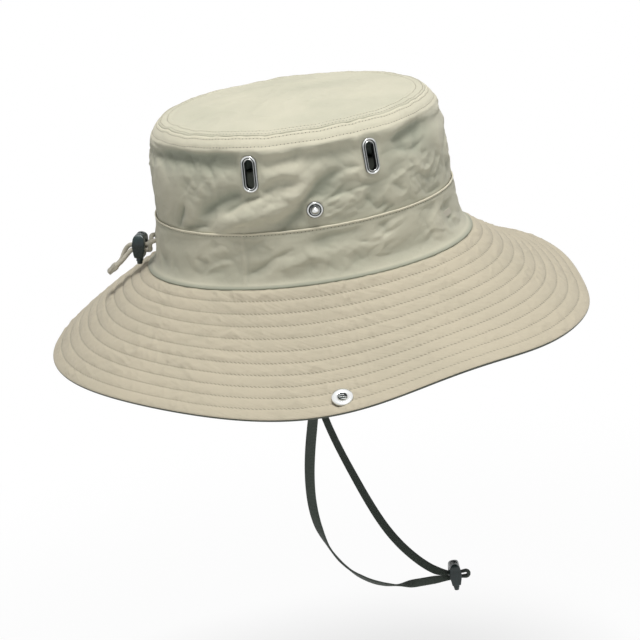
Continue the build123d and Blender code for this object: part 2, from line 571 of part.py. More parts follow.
def build_nodes():
    """Every node of the hat, by name."""
    nodes = {"crown_top_panel": crown_top_panel(), "crown_seam_tape": crown_seam_tape(),
             "crown_band": crown_band(), "sweatband": sweatband(), "drawcord_ring": drawcord_ring()}
    nodes.update(both_sides("crown_side_panel", crown_side_panel()))

    socket_at = socket_plane() * Pos(0, 0, SOCKET_SEAT)
    post_hole = socket_at * Cylinder(SOCKET_POST_RADIUS + 0.05, 12)
    pressed = socket_at * Pos(0, 0, 1) * Cylinder(SOCKET_RADIUS + 0.05, 2)  # cloth under its base
    fold_layers = []
    for layer, left_half in brim_layers().items():
        fixed = left_half & slab(-1, FIXED_HALF_WIDTH)
        nodes[f"brim_{layer}"] = fixed + mirror(fixed, Plane.YZ)
        fold_layers.append(left_half & slab(FIXED_HALF_WIDTH, FLAP_INNER_X))
        flap = (left_half & slab(FLAP_INNER_X, 300)) - post_hole - pressed
        nodes.update(both_sides(f"flap_{layer}", flap))
    nodes.update(both_sides("brim_fold", Compound(children=[Part() + piece for piece in fold_layers])))

    nodes.update(both_sides("snap_socket", socket_at * snap_socket()))
    nodes.update(both_sides("snap_spring", socket_at * snap_spring()))
    nodes.update(both_sides("snap_cap", socket_at * snap_cap()))
    stud_at = wall_plane(SNAP_Y, STUD_HEIGHT_ON_WALL)
    nodes.update(both_sides("snap_stud", stud_at * Pos(0, 0, STUD_SEAT) * snap_stud()))
    nodes.update(both_sides("snap_post", stud_at * snap_post()))
    for place, y in zip(("front", "rear"), EYELET_Y):
        eyelet_at = wall_plane(y, EYELET_HEIGHT)
        nodes.update(both_sides(f"{place}_vent_eyelet", eyelet_at * vent_eyelet()))
        nodes.update(both_sides(f"{place}_vent_washer", eyelet_at * vent_washer()))

    nodes.update(both_sides("strap_end", strap_end()))
    nodes["chin_strap"] = cord_tube("chin_strap", STRAP_ROUTE, STRAP_DIAMETER)
    nodes["drawcord_right"] = cord_tube("drawcord_right", RIGHT_CORD_ROUTE, CORD_DIAMETER)
    nodes["drawcord_left"] = cord_tube("drawcord_left", LEFT_CORD_ROUTE, CORD_DIAMETER)
    nodes["drawcord_end"] = drawcord_end()
    for lock, place in (("chin", Pos(*CHIN_LOCK_PLACE)), ("rear", rear_lock_plane())):
        nodes[f"{lock}_lock_body"] = place * lock_body()
        nodes[f"{lock}_lock_plunger"] = place * lock_plunger()
        nodes[f"{lock}_lock_spring"] = place * lock_spring()
    return nodes


hinge_x, hinge_z, fold_angle = fold_hinge()
print("fold hinge x", round(hinge_x, 2), "z", round(hinge_z, 2), "angle", round(fold_angle, 2))
os.makedirs("parts", exist_ok=True)
for node_name, shape in build_nodes().items():
    export_step(shape, f"parts/{node_name}.step")
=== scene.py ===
"""Looks of a wide-brimmed boonie hat: quilted brim, crumpled crown, polished fasteners and soft cords.

Lengths in the classes are millimetres in the hat's own frame, and meshes are written in metres. Only the
cords' routes, the studio and the sizes given to shader noise are metres. +Z is up the crown, the front of the
hat looks toward -Y and the wearer's right is toward -X.
"""
from __future__ import annotations

import logging
import math
from dataclasses import dataclass, field, replace
from enum import Enum
from typing import Callable, Sequence

import bpy
import numpy as np
from mathutils import Matrix, Vector

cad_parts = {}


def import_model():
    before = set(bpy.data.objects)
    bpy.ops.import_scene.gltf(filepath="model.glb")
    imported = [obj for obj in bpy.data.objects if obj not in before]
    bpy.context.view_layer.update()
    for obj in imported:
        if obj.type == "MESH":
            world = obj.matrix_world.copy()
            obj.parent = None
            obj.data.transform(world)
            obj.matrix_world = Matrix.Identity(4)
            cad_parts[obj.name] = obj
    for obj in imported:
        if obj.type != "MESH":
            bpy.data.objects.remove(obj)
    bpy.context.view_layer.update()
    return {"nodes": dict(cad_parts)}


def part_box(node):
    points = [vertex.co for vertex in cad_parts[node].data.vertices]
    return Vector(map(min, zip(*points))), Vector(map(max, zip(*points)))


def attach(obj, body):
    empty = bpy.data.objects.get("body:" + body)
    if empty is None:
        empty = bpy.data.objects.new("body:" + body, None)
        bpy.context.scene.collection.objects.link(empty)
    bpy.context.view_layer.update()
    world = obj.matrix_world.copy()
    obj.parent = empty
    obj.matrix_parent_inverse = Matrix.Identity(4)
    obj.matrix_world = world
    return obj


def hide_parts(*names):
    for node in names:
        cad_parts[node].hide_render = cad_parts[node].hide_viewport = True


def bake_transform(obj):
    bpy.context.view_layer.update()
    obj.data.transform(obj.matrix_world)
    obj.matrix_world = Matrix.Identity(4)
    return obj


LOG = logging.getLogger("hat")
MM = 0.001
UP = np.array([0.0, 0.0, 1.0])

Array = np.ndarray
Piece = bpy.types.Object
Shape = Callable[[Array, Array], Array]
Color = tuple[float, float, float]
Pairs = tuple[tuple[float, float], ...]
Route = tuple[tuple[float, float, float], ...]


class Side(Enum):
    """The wearer's two sides, with the sign of X there."""

    LEFT = 1
    RIGHT = -1

    @property
    def word(self) -> str:
        """The side's name as it stands in node names."""
        return self.name.lower()


# ---- numbers over a surface ----
def stack(*columns: Array | float) -> Array:
    """Columns of numbers, broadcast together, as one table of rows."""
    return np.stack(np.broadcast_arrays(*columns), -1).astype(float)


def unit(rows: Array) -> Array:
    """Each row at length one."""
    return rows / np.maximum(np.linalg.norm(rows, axis=-1, keepdims=True), 1e-12)


def ease(x: Array, low: float, high: float) -> Array:
    """Smooth step from 0 at low to 1 at high."""
    t = np.clip((np.asarray(x, float) - low) / (high - low), 0, 1)
    return t * t * (3 - 2 * t)


def bump(x: Array, width: float) -> Array:
    """Bell of height one about zero."""
    return np.exp(-((np.asarray(x, float) / width) ** 2))


def through(points: Sequence[Sequence[float]], t: Array, closed: bool = False) -> Array:
    """Smooth line through a few points.

    Args:
        points: the points, in order.
        t: places along the line, 0 to 1.
        closed: whether the line runs back to its first point.

    Returns:
        One row for each t.
    """
    knots = np.asarray(points, float)
    count = len(knots)
    spans = count if closed else count - 1
    place = np.clip(t, 0, 1) * spans
    start = np.minimum(place.astype(int), spans - 1)
    rest = (place - start)[:, None]

    def knot(offset: int) -> Array:
        index = start + offset
        return knots[index % count] if closed else knots[np.clip(index, 0, count - 1)]

    before, here, after, beyond = knot(-1), knot(0), knot(1), knot(2)
    pull, push = (after - before) / 2, (beyond - here) / 2
    return (here * (2 * rest ** 3 - 3 * rest ** 2 + 1) + pull * (rest ** 3 - 2 * rest ** 2 + rest)
            + after * (3 * rest ** 2 - 2 * rest ** 3) + push * (rest ** 3 - rest ** 2))


class Noise:
    """Smooth noise in space, about -1 to 1, the same on every run."""

    def __init__(self, seed: int) -> None:
        """Deals the slopes from a seed."""
        dice = np.random.RandomState(seed)
        self.order = dice.permutation(256)
        self.slopes = unit(dice.normal(size=(256, 3)))

    def at(self, points: Array, size: float) -> Array:
        """Noise whose lumps are about size across at each point.

        Args:
            points: places in space.
            size: width of a lump.

        Returns:
            One number for each point.
        """
        scaled = points / size
        cell = np.floor(scaled).astype(int)
        rest = scaled - cell
        fade = rest ** 3 * (rest * (rest * 6 - 15) + 10)
        total = np.zeros(len(scaled))
        for corner in np.ndindex(2, 2, 2):
            step = np.array(corner)
            index = self.order[(cell[:, 0] + step[0]) & 255]
            index = self.order[(index + cell[:, 1] + step[1]) & 255]
            index = self.order[(index + cell[:, 2] + step[2]) & 255]
            weight = np.prod(np.where(step, fade, 1 - fade), -1)
            total += weight * ((rest - step) * self.slopes[index]).sum(-1)
        return 1.6 * total

    def crease(self, points: Array, size: float) -> Array:
        """Sharp ridges between broad hollows, from 0 to 1."""
        return (1 - np.clip(np.abs(self.at(points, size)) * 1.9, 0, 1)) ** 2


# ---- mesh tools ----
def deselect() -> None:
    """Leaves nothing selected."""
    bpy.ops.object.select_all(action="DESELECT")


def activate(piece: Piece) -> None:
    """Selects one piece alone."""
    deselect()
    piece.select_set(True)
    bpy.context.view_layer.objects.active = piece


def put(name: str, data: bpy.types.ID) -> Piece:
    """Puts an object with the given data into the scene."""
    piece = bpy.data.objects.new(name, data)
    bpy.context.scene.collection.objects.link(piece)
    return piece


def edit(piece: Piece, *steps: Callable[[], object]) -> None:
    """Runs edit-mode operators on the whole of one piece."""
    activate(piece)
    bpy.ops.object.mode_set(mode="EDIT")
    bpy.ops.mesh.select_all(action="SELECT")
    for step in steps:
        step()
    bpy.ops.object.mode_set(mode="OBJECT")


def weld(piece: Piece, reach: float) -> None:
    """Merges corners that lie within reach of each other."""
    edit(piece, lambda: bpy.ops.mesh.remove_doubles(threshold=reach * MM))


def modify(piece: Piece, kind: str, **settings: object) -> None:
    """Adds one modifier and applies it."""
    activate(piece)
    modifier = piece.modifiers.new(kind.title(), kind)
    for name, value in settings.items():
        setattr(modifier, name, value)
    bpy.ops.object.modifier_apply(modifier=modifier.name)


def corners_of(piece: Piece) -> Array:
    """The piece's vertices, in millimetres."""
    flat = np.empty(len(piece.data.vertices) * 3, np.float32)
    piece.data.vertices.foreach_get("co", flat)
    return flat.reshape(-1, 3).astype(float) / MM


def place_corners(piece: Piece, points: Array) -> None:
    """Moves the piece's vertices to points in millimetres."""
    piece.data.vertices.foreach_set("co", (points * MM).astype(np.float32).ravel())
    piece.data.update()


def face_outward(piece: Piece) -> None:
    """Turns every face of a closed piece outward."""
    edit(piece, lambda: bpy.ops.mesh.normals_make_consistent(inside=False))


def cloth_grid(name: str, columns: int, rows: int, shape: Shape, flat: Shape, outside: Shape | None = None,
               marks: dict[str, Array] | None = None) -> Piece:
    """A sheet modelled from a grid, laid on a surface.

    Args:
        name: the piece's name.
        columns: how many faces there are along u.
        rows: how many faces there are along v.
        shape: gives the place of each (u, v), both from 0 to 1.
        flat: gives where each (u, v) lies on the flat cloth.
        outside: gives the direction out of the cloth, or None on a closed piece.
        marks: numbers to store on the vertices, which shape fills in.

    Returns:
        The new piece.
    """
    deselect()
    bpy.ops.mesh.primitive_grid_add(x_subdivisions=columns, y_subdivisions=rows, size=1)
    piece = bpy.context.object
    piece.name = name
    mesh = piece.data
    mesh.name = name
    spots = corners_of(piece) * MM
    u, v = np.clip(spots[:, 0] + 0.5, 0, 1), np.clip(spots[:, 1] + 0.5, 0, 1)
    place_corners(piece, shape(u, v))
    order = np.empty(len(mesh.loops), np.int32)
    mesh.loops.foreach_get("vertex_index", order)
    mesh.uv_layers[0].data.foreach_set("uv", (flat(u, v)[order] * MM).astype(np.float32).ravel())
    if outside is not None:
        facing = np.empty(len(mesh.vertices) * 3, np.float32)
        mesh.vertices.foreach_get("normal", facing)
        if (facing.reshape(-1, 3) * outside(u, v)).sum() < 0:
            mesh.flip_normals()
    for attribute, values in (marks or {}).items():
        mark(piece, attribute, values)
    mesh.shade_smooth()
    return piece


def mark(piece: Piece, name: str, values: Array) -> None:
    """Stores one number on each vertex, for a finish to read."""
    attribute = piece.data.attributes.get(name) or piece.data.attributes.new(name, "FLOAT", "POINT")
    attribute.data.foreach_set("value", values.astype(np.float32))


def thicken(piece: Piece, thickness: float) -> None:
    """Gives a sheet its thickness, behind its face."""
    modify(piece, "SOLIDIFY", thickness=thickness * MM, offset=-1.0, use_even_offset=False)
    piece.data.shade_smooth()


@dataclass(frozen=True)
class Seat:
    """Where a small piece sits: an origin and three directions in the hat's frame."""

    origin: Array
    along: Array
    across: Array
    out: Array

    def place(self, local: Array) -> Array:
        """Points given in the seat's own directions."""
        return (self.origin + local[:, :1] * self.along + local[:, 1:2] * self.across
                + local[:, 2:3] * self.out)

    def local(self, points: Array) -> Array:
        """The hat's points in the seat's own directions."""
        away = points - self.origin
        return stack(away @ self.along, away @ self.across, away @ self.out)

    def on(self, side: Side) -> Seat:
        """The same seat on the given side of the hat."""
        flip = np.array([side.value, 1.0, 1.0])
        return Seat(self.origin * flip, self.along * flip, self.across * flip, self.out * flip)

    def raised(self, height: float) -> Seat:
        """The same seat, moved out by a height."""
        return replace(self, origin=self.origin + self.out * height)


def lathe(name: str, seat: Seat, profile: Sequence[Sequence[float]], straight: float = 0.0) -> Piece:
    """A piece swept round the seat's out direction from one profile.

    Args:
        name: the piece's name.
        seat: where it sits; an obround piece is long in the seat's along direction.
        profile: outline of points of radius, height and painted shade, the last being how dark the metal is
            painted there for shade and dark reflections.
            It starts and ends on the axis, or else it is the closed section of a ring.
        straight: length of an obround piece's two straight runs.

    Returns:
        The new piece.
    """
    closed = profile[0][0] > 0
    columns, rows = (72, 80) if closed else (56, 68)

    def read(v: Array) -> Array:
        rows_read = through(profile, v, closed=closed)
        if not closed:
            on_axis = (v < 1e-6) | (v > 1 - 1e-6)
            rows_read[:, 0] = np.where(on_axis, 0, np.maximum(rows_read[:, 0], 0.02))
        return rows_read

    marks: dict[str, Array] = {}

    def shape(u: Array, v: Array) -> Array:
        turn = 2 * math.pi * (u + 0.5 / columns)
        radius, height, painted_shade = read(v).T
        marks["painted_shade"] = np.clip(painted_shade, 0, 1)
        middle = np.sign(np.cos(turn)) * straight / 2
        return seat.place(stack(middle + radius * np.cos(turn), radius * np.sin(turn), height))

    size = max(row[0] for row in profile)
    piece = cloth_grid(name, columns, rows, shape, lambda u, v: stack(u * 6 * size, v * 3 * size),
                       marks=marks)
    weld(piece, 0.002)
    face_outward(piece)
    return piece


def smooth_route(points: Sequence[Sequence[float]]) -> Array:
    """Points along the smooth line that a cord takes through its route, in metres.

    Args:
        points: the route's own points.

    Returns:
        Many points along the line.
    """
    curve = bpy.data.curves.new("route", "CURVE")
    curve.dimensions = "3D"
    curve.resolution_u = 14
    spline = curve.splines.new("NURBS")
    spline.points.add(len(points) - 1)
    for knot, point in zip(spline.points, points):
        knot.co = (*point, 1.0)
    spline.order_u = 3
    spline.use_endpoint_u = True
    holder = put("route", curve)
    bpy.context.view_layer.update()
    line = bpy.data.meshes.new_from_object(holder)
    route = np.array([corner.co for corner in line.vertices], float)
    bpy.data.objects.remove(holder)
    bpy.data.meshes.remove(line)
    bpy.data.curves.remove(curve)
    return route


def path_lengths(route: Array) -> Array:
    """Distance along a route to each of its points."""
    return np.concatenate([[0.0], np.cumsum(np.linalg.norm(np.diff(route, axis=0), axis=1))])


def at_lengths(rows: Array, lengths: Array, places: Array) -> Array:
    """Rows that stand at lengths along a line, read at other places along it."""
    return np.stack([np.interp(places, lengths, rows[:, axis]) for axis in range(3)], -1)


def even_route(route: Array, step: float) -> Array:
    """The same route with points about one step apart."""
    lengths = path_lengths(route)
    places = np.linspace(0, lengths[-1], max(2, int(round(lengths[-1] / step)) + 1))
    return at_lengths(route, lengths, places)


def carried_sides(route: Array, start: Array) -> tuple[Array, Array, Array]:
    """Directions along a route, and two across it that don't roll.

    Args:
        route: points along the route.
        start: the direction that the first side comes nearest to.

    Returns:
        The forward, first side and second side directions at each point.
    """
    forward = unit(np.gradient(route, axis=0))
    first = np.empty_like(forward)
    side = np.asarray(start, float)
    for index, ahead in enumerate(forward):
        side = side - ahead * (side @ ahead)
        side = side / np.linalg.norm(side)
        first[index] = side
    return forward, first, np.cross(forward, first)


def band_piece(name: str, route: Array, outline: Callable[[Array, Array], tuple[Array, Array]],
               columns: int, start: Array) -> Piece:
    """A closed bar along a route.

    Args:
        name: the piece's name.
        route: points along it, in millimetres.
        outline: gives the two offsets across the route for (share along, turn round).
        columns: faces round the bar.
        start: the direction of the first offset where the bar starts.

    Returns:
        The new piece, with both ends closed.
    """
    _, first, second = carried_sides(route, start)
    lengths = path_lengths(route)

    def shape(u: Array, v: Array) -> Array:
        index = np.rint(u * (len(route) - 1)).astype(int)
        a, b = outline(u, 2 * math.pi * v)
        return route[index] + first[index] * a[:, None] + second[index] * b[:, None]

    piece = cloth_grid(name, len(route) - 1, columns, shape, lambda u, v: stack(u * lengths[-1], v * 10.0))
    edit(piece, lambda: bpy.ops.mesh.remove_doubles(threshold=0.001 * MM),
         lambda: bpy.ops.mesh.select_all(action="DESELECT"),
         lambda: bpy.ops.mesh.select_mode(type="VERT"),
         lambda: bpy.ops.mesh.select_non_manifold(extend=False),
         lambda: bpy.ops.mesh.fill())
    face_outward(piece)
    piece.data.shade_smooth()
    return piece


@dataclass(frozen=True)
class Stitch:
    """One lockstitch on the cloth, and how far apart they stand."""

    pitch: float = 2.5
    length: float = 1.95
    width: float = 0.5
    height: float = 0.34
    sink: float = 0.16
    ahead: float = 0.4

    def one(self) -> tuple[Array, list[list[int]]]:
        """Corners and faces of one stitch, bent down into the cloth at both ends."""
        deselect()
        bpy.ops.mesh.primitive_uv_sphere_add(segments=6, ring_count=5, radius=0.5,
                                             rotation=(0, math.pi / 2, 0))
        ball = bpy.context.object
        bpy.ops.object.transform_apply(location=False, rotation=True, scale=False)
        corners = corners_of(ball) * MM
        faces = [list(face.vertices) for face in ball.data.polygons]
        bpy.data.objects.remove(ball)
        corners = corners * (self.length, self.width, self.height)
        reach = np.abs(corners[:, 0]) / (self.length / 2)
        corners[:, 2] -= (self.sink + self.height / 2) * reach ** 3
        return corners, faces

    def sew(self, name: str, lines: Sequence[tuple[Array, Array, Array]], shift: float = 0.5) -> Piece:
        """Sews stitches along lines.

        Args:
            name: the piece's name.
            lines: for each line its points, and the direction out of the cloth and the cloth's length there.
            shift: share of the pitch by which the stitches stand off whole multiples of it.

        Returns:
            All the stitches as one piece.
        """
        corners, faces = self.one()
        all_corners, all_faces = [], []
        base = 0
        for points, normals, lengths in lines:
            first = math.ceil(lengths[0] / self.pitch - shift)
            last = math.floor(lengths[-1] / self.pitch - shift)
            middles = (np.arange(first, last + 1) + shift) * self.pitch
            spots, ahead, behind = (at_lengths(points, lengths, middles + step)
                                    for step in (0.0, self.ahead, -self.ahead))
            ahead = np.where(middles[:, None] + self.ahead > lengths[-1], 2 * spots - behind, ahead)
            out = unit(at_lengths(normals, lengths, middles))
            forward = unit(ahead - spots)
            across = unit(np.cross(out, forward))
            rows = (spots[:, None] + corners[None, :, :1] * forward[:, None]
                    + corners[None, :, 1:2] * across[:, None] + corners[None, :, 2:] * out[:, None])
            all_corners.append(rows.reshape(-1, 3))
            for _ in middles:
                all_faces.extend([[index + base for index in face] for face in faces])
                base += len(corners)
        mesh = bpy.data.meshes.new(name)
        mesh.from_pydata((np.concatenate(all_corners) * MM).tolist(), [], all_faces)
        mesh.shade_smooth()
        return put(name, mesh)


# ---- finishes ----
def math_node(operation: str, reflected: bool = False) -> Callable[..., Value]:
    """A method of Value that adds a Math node.

    Args:
        operation: what the node does.
        reflected: whether the value itself comes last.

    Returns:
        The method.
    """
    def method(value: Value, *others: Value | float) -> Value:
        terms = (*others, value) if reflected else (value, *others)
        return value.board.node("ShaderNodeMath", {"operation": operation}, dict(enumerate(terms)))

    return method


class Value:
    """A shader socket in a sum: Python's operators add Math nodes."""

    def __init__(self, board: Board, socket: bpy.types.NodeSocket) -> None:
        """Wraps a socket of the board's nodes."""
        self.board = board
        self.socket = socket

    __add__ = __radd__ = math_node("ADD")
    __mul__ = __rmul__ = math_node("MULTIPLY")
    __sub__ = math_node("SUBTRACT")
    __rsub__ = math_node("SUBTRACT", reflected=True)
    __truediv__ = math_node("DIVIDE")
    __pow__ = math_node("POWER")
    __abs__ = math_node("ABSOLUTE")
    sine = math_node("SINE")
    least = math_node("MINIMUM")
    fraction = math_node("FRACT")

    def to_nearest(self, pitch: float) -> Value:
        """Distance to the nearest whole multiple of the pitch."""
        return abs((self / pitch + 0.5).fraction() - 0.5) * pitch

    def between(self, low: float, high: float) -> Value:
        """Rises from 0 at low to 1 at high."""
        return self.board.node("ShaderNodeMapRange", {"interpolation_type": "SMOOTHSTEP"},
                               {"Value": self, "From Min": low, "From Max": high})


class Board:
    """The nodes of one material."""

    def __init__(self, name: str) -> None:
        """Starts a material with one shader."""
        self.material = bpy.data.materials.new(name)
        self.material.use_nodes = True
        self.tree = self.material.node_tree
        self.shader = self.tree.nodes["Principled BSDF"]

    def node(self, kind: str, settings: dict[str, object], inputs: dict[int | str, object],
             output: int | str = 0) -> Value:
        """Adds a node.

        Args:
            kind: the node's type.
            settings: its own settings, set first.
            inputs: the value or link of each socket.
            output: the socket that the result is read from.

        Returns:
            The result.
        """
        node = self.tree.nodes.new(kind)
        for name, value in settings.items():
            setattr(node, name, value)
        for key, value in inputs.items():
            self.feed(node.inputs[key], value)
        return Value(self, node.outputs[output])

    def feed(self, socket: bpy.types.NodeSocket, value: object) -> None:
        """Links a value to a socket, or sets it there."""
        if isinstance(value, Value):
            self.tree.links.new(value.socket, socket)
        elif isinstance(value, tuple) and socket.type == "RGBA":
            socket.default_value = (*value, 1.0)
        else:
            socket.default_value = value

    def set(self, **sockets: object) -> None:
        """Feeds the shader's sockets; an underscore stands for a space."""
        for name, value in sockets.items():
            self.feed(self.shader.inputs[name.replace("_", " ")], value)

    def coordinates(self, kind: str = "Object") -> Value:
        """The piece's own coordinates, in metres."""
        return self.node("ShaderNodeTexCoord", {}, {}, kind)

    def vector(self, x: Value, y: Value) -> Value:
        """A vector of two values, level at z 0."""
        return self.node("ShaderNodeCombineXYZ", {}, {0: x, 1: y, 2: 0.0})

    def parts(self, vector: Value) -> tuple[Value, Value, Value]:
        """X, Y and Z of a vector."""
        node = self.tree.nodes.new("ShaderNodeSeparateXYZ")
        self.feed(node.inputs[0], vector)
        return tuple(Value(self, output) for output in node.outputs)

    def attribute(self, name: str) -> Value:
        """A number stored on the piece's vertices."""
        return self.node("ShaderNodeAttribute", {"attribute_name": name}, {}, "Fac")

    def noise(self, vector: Value, size: float, detail: float = 2.0) -> Value:
        """Noise from 0 to 1 with lumps of a size in metres."""
        return self.node("ShaderNodeTexNoise", {}, {"Vector": vector, "Scale": 1 / size, "Detail": detail})

    def mix(self, share: Value | float, first: Value | Color, second: Value | Color) -> Value:
        """One colour fading into another."""
        return self.node("ShaderNodeMix", {"data_type": "RGBA"}, {0: share, 6: first, 7: second}, 2)

    def raised(self, height: Value, distance: float, strength: float = 1.0) -> Value:
        """The bump of a height from 0 to 1 over a distance in metres."""
        return self.node("ShaderNodeBump", {}, {"Height": height, "Distance": distance, "Strength": strength})


def tinted(color: Color, factors: Color | float) -> Color:
    """A colour with its channels multiplied."""
    return tuple(np.multiply(color, factors).tolist())


@dataclass(frozen=True)
class Finish:
    """A finish with a name and a main colour; each kind paints its own board."""

    name: str
    color: Color

    def material(self) -> bpy.types.Material:
        """Builds the material."""
        board = Board(self.name)
        self.paint(board, board.coordinates("Object"))
        return board.material

    def paint(self, board: Board, place: Value) -> None:
        """Adds the finish's nodes, which read the place on the piece, to the board."""
        raise NotImplementedError


@dataclass(frozen=True)
class WovenCloth(Finish):
    """Fine plain-woven cloth, mottled, with painted shade in its hollows, along its stitch rows and on its
    inner face, and painted highlights.
    """

    shade: Color
    thread: float = 0.42
    mottle: float = 0.5
    row_spacing: float = 0.0
    row_count: int = 0
    stitch_pitch: float = 2.5
    fold_height: float = 0.5
    shade_tint: Color = (0.60, 0.66, 0.66)
    pale_tint: Color = (1.24, 1.22, 1.22)
    hole_shade_tint: float = 0.34
    inner_shade_color: Color = (0.050, 0.064, 0.054)

    def paint(self, board: Board, place: Value) -> None:
        """Weave, mottling, painted shade and highlights, and slanting folds."""
        x, y, _ = board.parts(board.coordinates("UV"))
        rate = 2 * math.pi / (self.thread * MM)
        weave = (x * rate).sine() * (y * rate).sine()
        clouds = board.noise(place, 0.035, 3.0)
        specks = board.noise(place, 0.0011, 2.0)
        slubs = board.noise(board.vector(x * 0.12, y), 0.0009, 1.0)
        share = (clouds.between(0.35, 0.7) * self.mottle + specks * 0.18 + slubs * 0.14).least(1.0)
        color = board.mix(share, self.color, self.shade)
        # Painted light: low places and the inner face are painted darker as shade, and marked strips are
        # painted paler as highlights.
        for attribute, marked in (("hollow", tinted(self.shade, self.shade_tint)),
                                  ("pale", tinted(self.color, self.pale_tint)), ("inside", self.inner_shade_color)):
            color = board.mix(board.attribute(attribute), color, marked)
        height = weave * 0.5 + specks * 0.5
        if self.row_count:
            hole = self._needle_holes(x, y)
            # Painted shade: the needle holes are darkened for the shade inside them.
            color = board.mix(hole * 0.6, color, tinted(self.shade, self.hole_shade_tint))
            height = height - hole * 2.2
            drawn = board.vector(x + y * 0.7, y * 0.38)
            fold = board.noise(drawn, 0.0034, 2.0) * 0.75 + board.noise(place, 0.0042, 4.0) * 0.25
        else:
            fold = board.noise(place, 0.0042, 4.0)
        board.set(Base_Color=color, Roughness=clouds * 0.12 + 0.74, Sheen_Weight=0.12, Sheen_Roughness=0.5,
                  IOR=1.46, Normal=board.node("ShaderNodeBump", {}, {
                      "Height": height, "Distance": 0.00009, "Strength": 0.75,
                      "Normal": board.raised(fold, self.fold_height * MM, 0.5)}))

    def _needle_holes(self, x: Value, y: Value) -> Value:
        """Dots where the needle went in, between two stitches of each row, which the cloth paints dark as the
        shade in them.

        Args:
            x: distance along the row, in metres.
            y: distance from the crown's seam, in metres.

        Returns:
            1 in a hole and 0 elsewhere.
        """
        along = x.to_nearest(self.stitch_pitch * MM)
        across = y.to_nearest(self.row_spacing * MM)
        reach = (along * along + across * across) ** 0.5
        inner = y.between(0.45 * self.row_spacing * MM, 0.5 * self.row_spacing * MM)
        outer = 1 - y.between((self.row_count + 0.5) * self.row_spacing * MM,
                              (self.row_count + 0.55) * self.row_spacing * MM)
        return (1 - reach.between(0.35 * MM, 0.78 * MM)) * inner * outer


@dataclass(frozen=True)
class SewingThread(Finish):
    """Matt sewing thread."""

    def paint(self, board: Board, place: Value) -> None:
        """Uneven colour and a fine fuzz."""
        share = board.noise(place, 0.0007, 2.0)
        color = board.mix(share, self.color, tinted(self.color, 0.72))
        board.set(Base_Color=color, Roughness=0.7 + share * 0.15, Sheen_Weight=0.15,
                  Normal=board.raised(board.noise(place, 0.0002, 1.0), 0.00005))


@dataclass(frozen=True)
class Braid(Finish):
    """Braided tape or cord, with slanting ribs that meet at its middle."""

    rib_color: Color
    rib: float = 1.15
    slant: float = 1.4

    def paint(self, board: Board, place: Value) -> None:
        """Two sets of crossing ribs under a fuzz."""
        x, y, _ = board.parts(board.coordinates("UV"))
        rate = 2 * math.pi / (self.rib * MM)
        fold = abs(y - 0.0025) + abs(y - 0.0075)
        ribs = ((x + fold * self.slant) * rate).sine() * 0.5 + 0.5
        cross = ((x - fold * self.slant) * rate).sine() * 0.5 + 0.5
        fuzz = board.noise(place, 0.0006, 3.0)
        share = ribs * 0.45 + cross * 0.25 + fuzz * 0.35
        board.set(Base_Color=board.mix(share, self.color, self.rib_color), Roughness=0.72 + fuzz * 0.2,
                  Sheen_Weight=0.2, Normal=board.raised(ribs * 0.6 + cross * 0.3 + fuzz * 0.4, 0.00022))


@dataclass(frozen=True)
class PolishedMetal(Finish):
    """Plated and polished metal with faint rubbing marks, and painted shade and dark reflections where a
    piece marks them.
    """

    color: Color = (0.78, 0.79, 0.78)
    roughness: float = 0.12
    painted_shade_color: Color = (0.030, 0.036, 0.034)

    def paint(self, board: Board, place: Value) -> None:
        """Smears, grit, and the painted shade and dark reflections of grooves and hollows."""
        smears = board.noise(place, 0.0035, 3.0)
        grit = board.noise(place, 0.0004, 2.0)
        color = board.mix(smears.between(0.3, 0.8) * 0.35, self.color, tinted(self.color, 0.8))
        # Painted shade: marked places are painted dark for shade and dark reflections, and are also made a
        # little rougher.
        painted_shade = board.attribute("painted_shade")
        color = board.mix(painted_shade, color, self.painted_shade_color)
        board.set(Base_Color=color, Metallic=1.0, Roughness=smears * 0.10 + painted_shade * 0.2 + self.roughness,
                  Normal=board.raised(grit, 0.00002, 0.4))


@dataclass(frozen=True)
class MouldedPlastic(Finish):
    """Dark moulded plastic with a faint spark-eroded grain."""

    color: Color = (0.004, 0.014, 0.014)

    def paint(self, board: Board, place: Value) -> None:
        """Fine grain, and paler where it is rubbed."""
        grain = board.noise(place, 0.0005, 3.0)
        rubbed = board.noise(place, 0.006, 2.0).between(0.4, 0.75)
        color = board.mix(rubbed * 0.4, self.color, tinted(self.color, 2.6))
        board.set(Base_Color=color, Roughness=0.20 + grain * 0.14, Specular_IOR_Level=0.5,
                  Normal=board.raised(grain, 0.00006, 0.5))


def direct_rays(nodes: bpy.types.Nodes, links: bpy.types.NodeLinks) -> bpy.types.NodeSocket:
    """1 for rays from the camera, from a reflection and through clear pieces; 0 for all others.

    Args:
        nodes: the nodes of a material or of the world.
        links: their links.

    Returns:
        The socket that carries it.
    """
    rays = nodes.new("ShaderNodeLightPath")
    seen = rays.outputs["Is Camera Ray"]
    for ray in ("Is Glossy Ray", "Is Transmission Ray"):
        largest = nodes.new("ShaderNodeMath")
        largest.operation = "MAXIMUM"
        links.new(seen, largest.inputs[0])
        links.new(rays.outputs[ray], largest.inputs[1])
        seen = largest.outputs[0]
    return seen


@dataclass(frozen=True)
class StudioCard(Finish):
    """White floor card: it keeps the hat's shadow, and is lifted to white where it is seen directly."""

    color: Color = (0.97, 0.97, 0.97)
    lifted: float = 0.7
    fade: tuple[float, float] = (0.2, 0.75)

    def paint(self, board: Board, place: Value) -> None:
        """White card that glows where the camera sees it, most of all away from the hat."""
        board.set(Base_Color=self.color, Roughness=0.95)
        nodes, links = board.tree.nodes, board.tree.links
        seen = Value(board, direct_rays(nodes, links))
        x, y, _ = board.parts(place)
        away = ((x * x + y * y) ** 0.5).between(*self.fade)
        glow = board.node("ShaderNodeEmission", {}, {"Color": (1.0, 1.0, 1.0), "Strength": 1.0})
        card = board.node("ShaderNodeMixShader", {}, {0: seen * (away * (1 - self.lifted) + self.lifted),
                                                      1: Value(board, board.shader.outputs[0]), 2: glow})
        links.new(card.socket, nodes["Material Output"].inputs["Surface"])


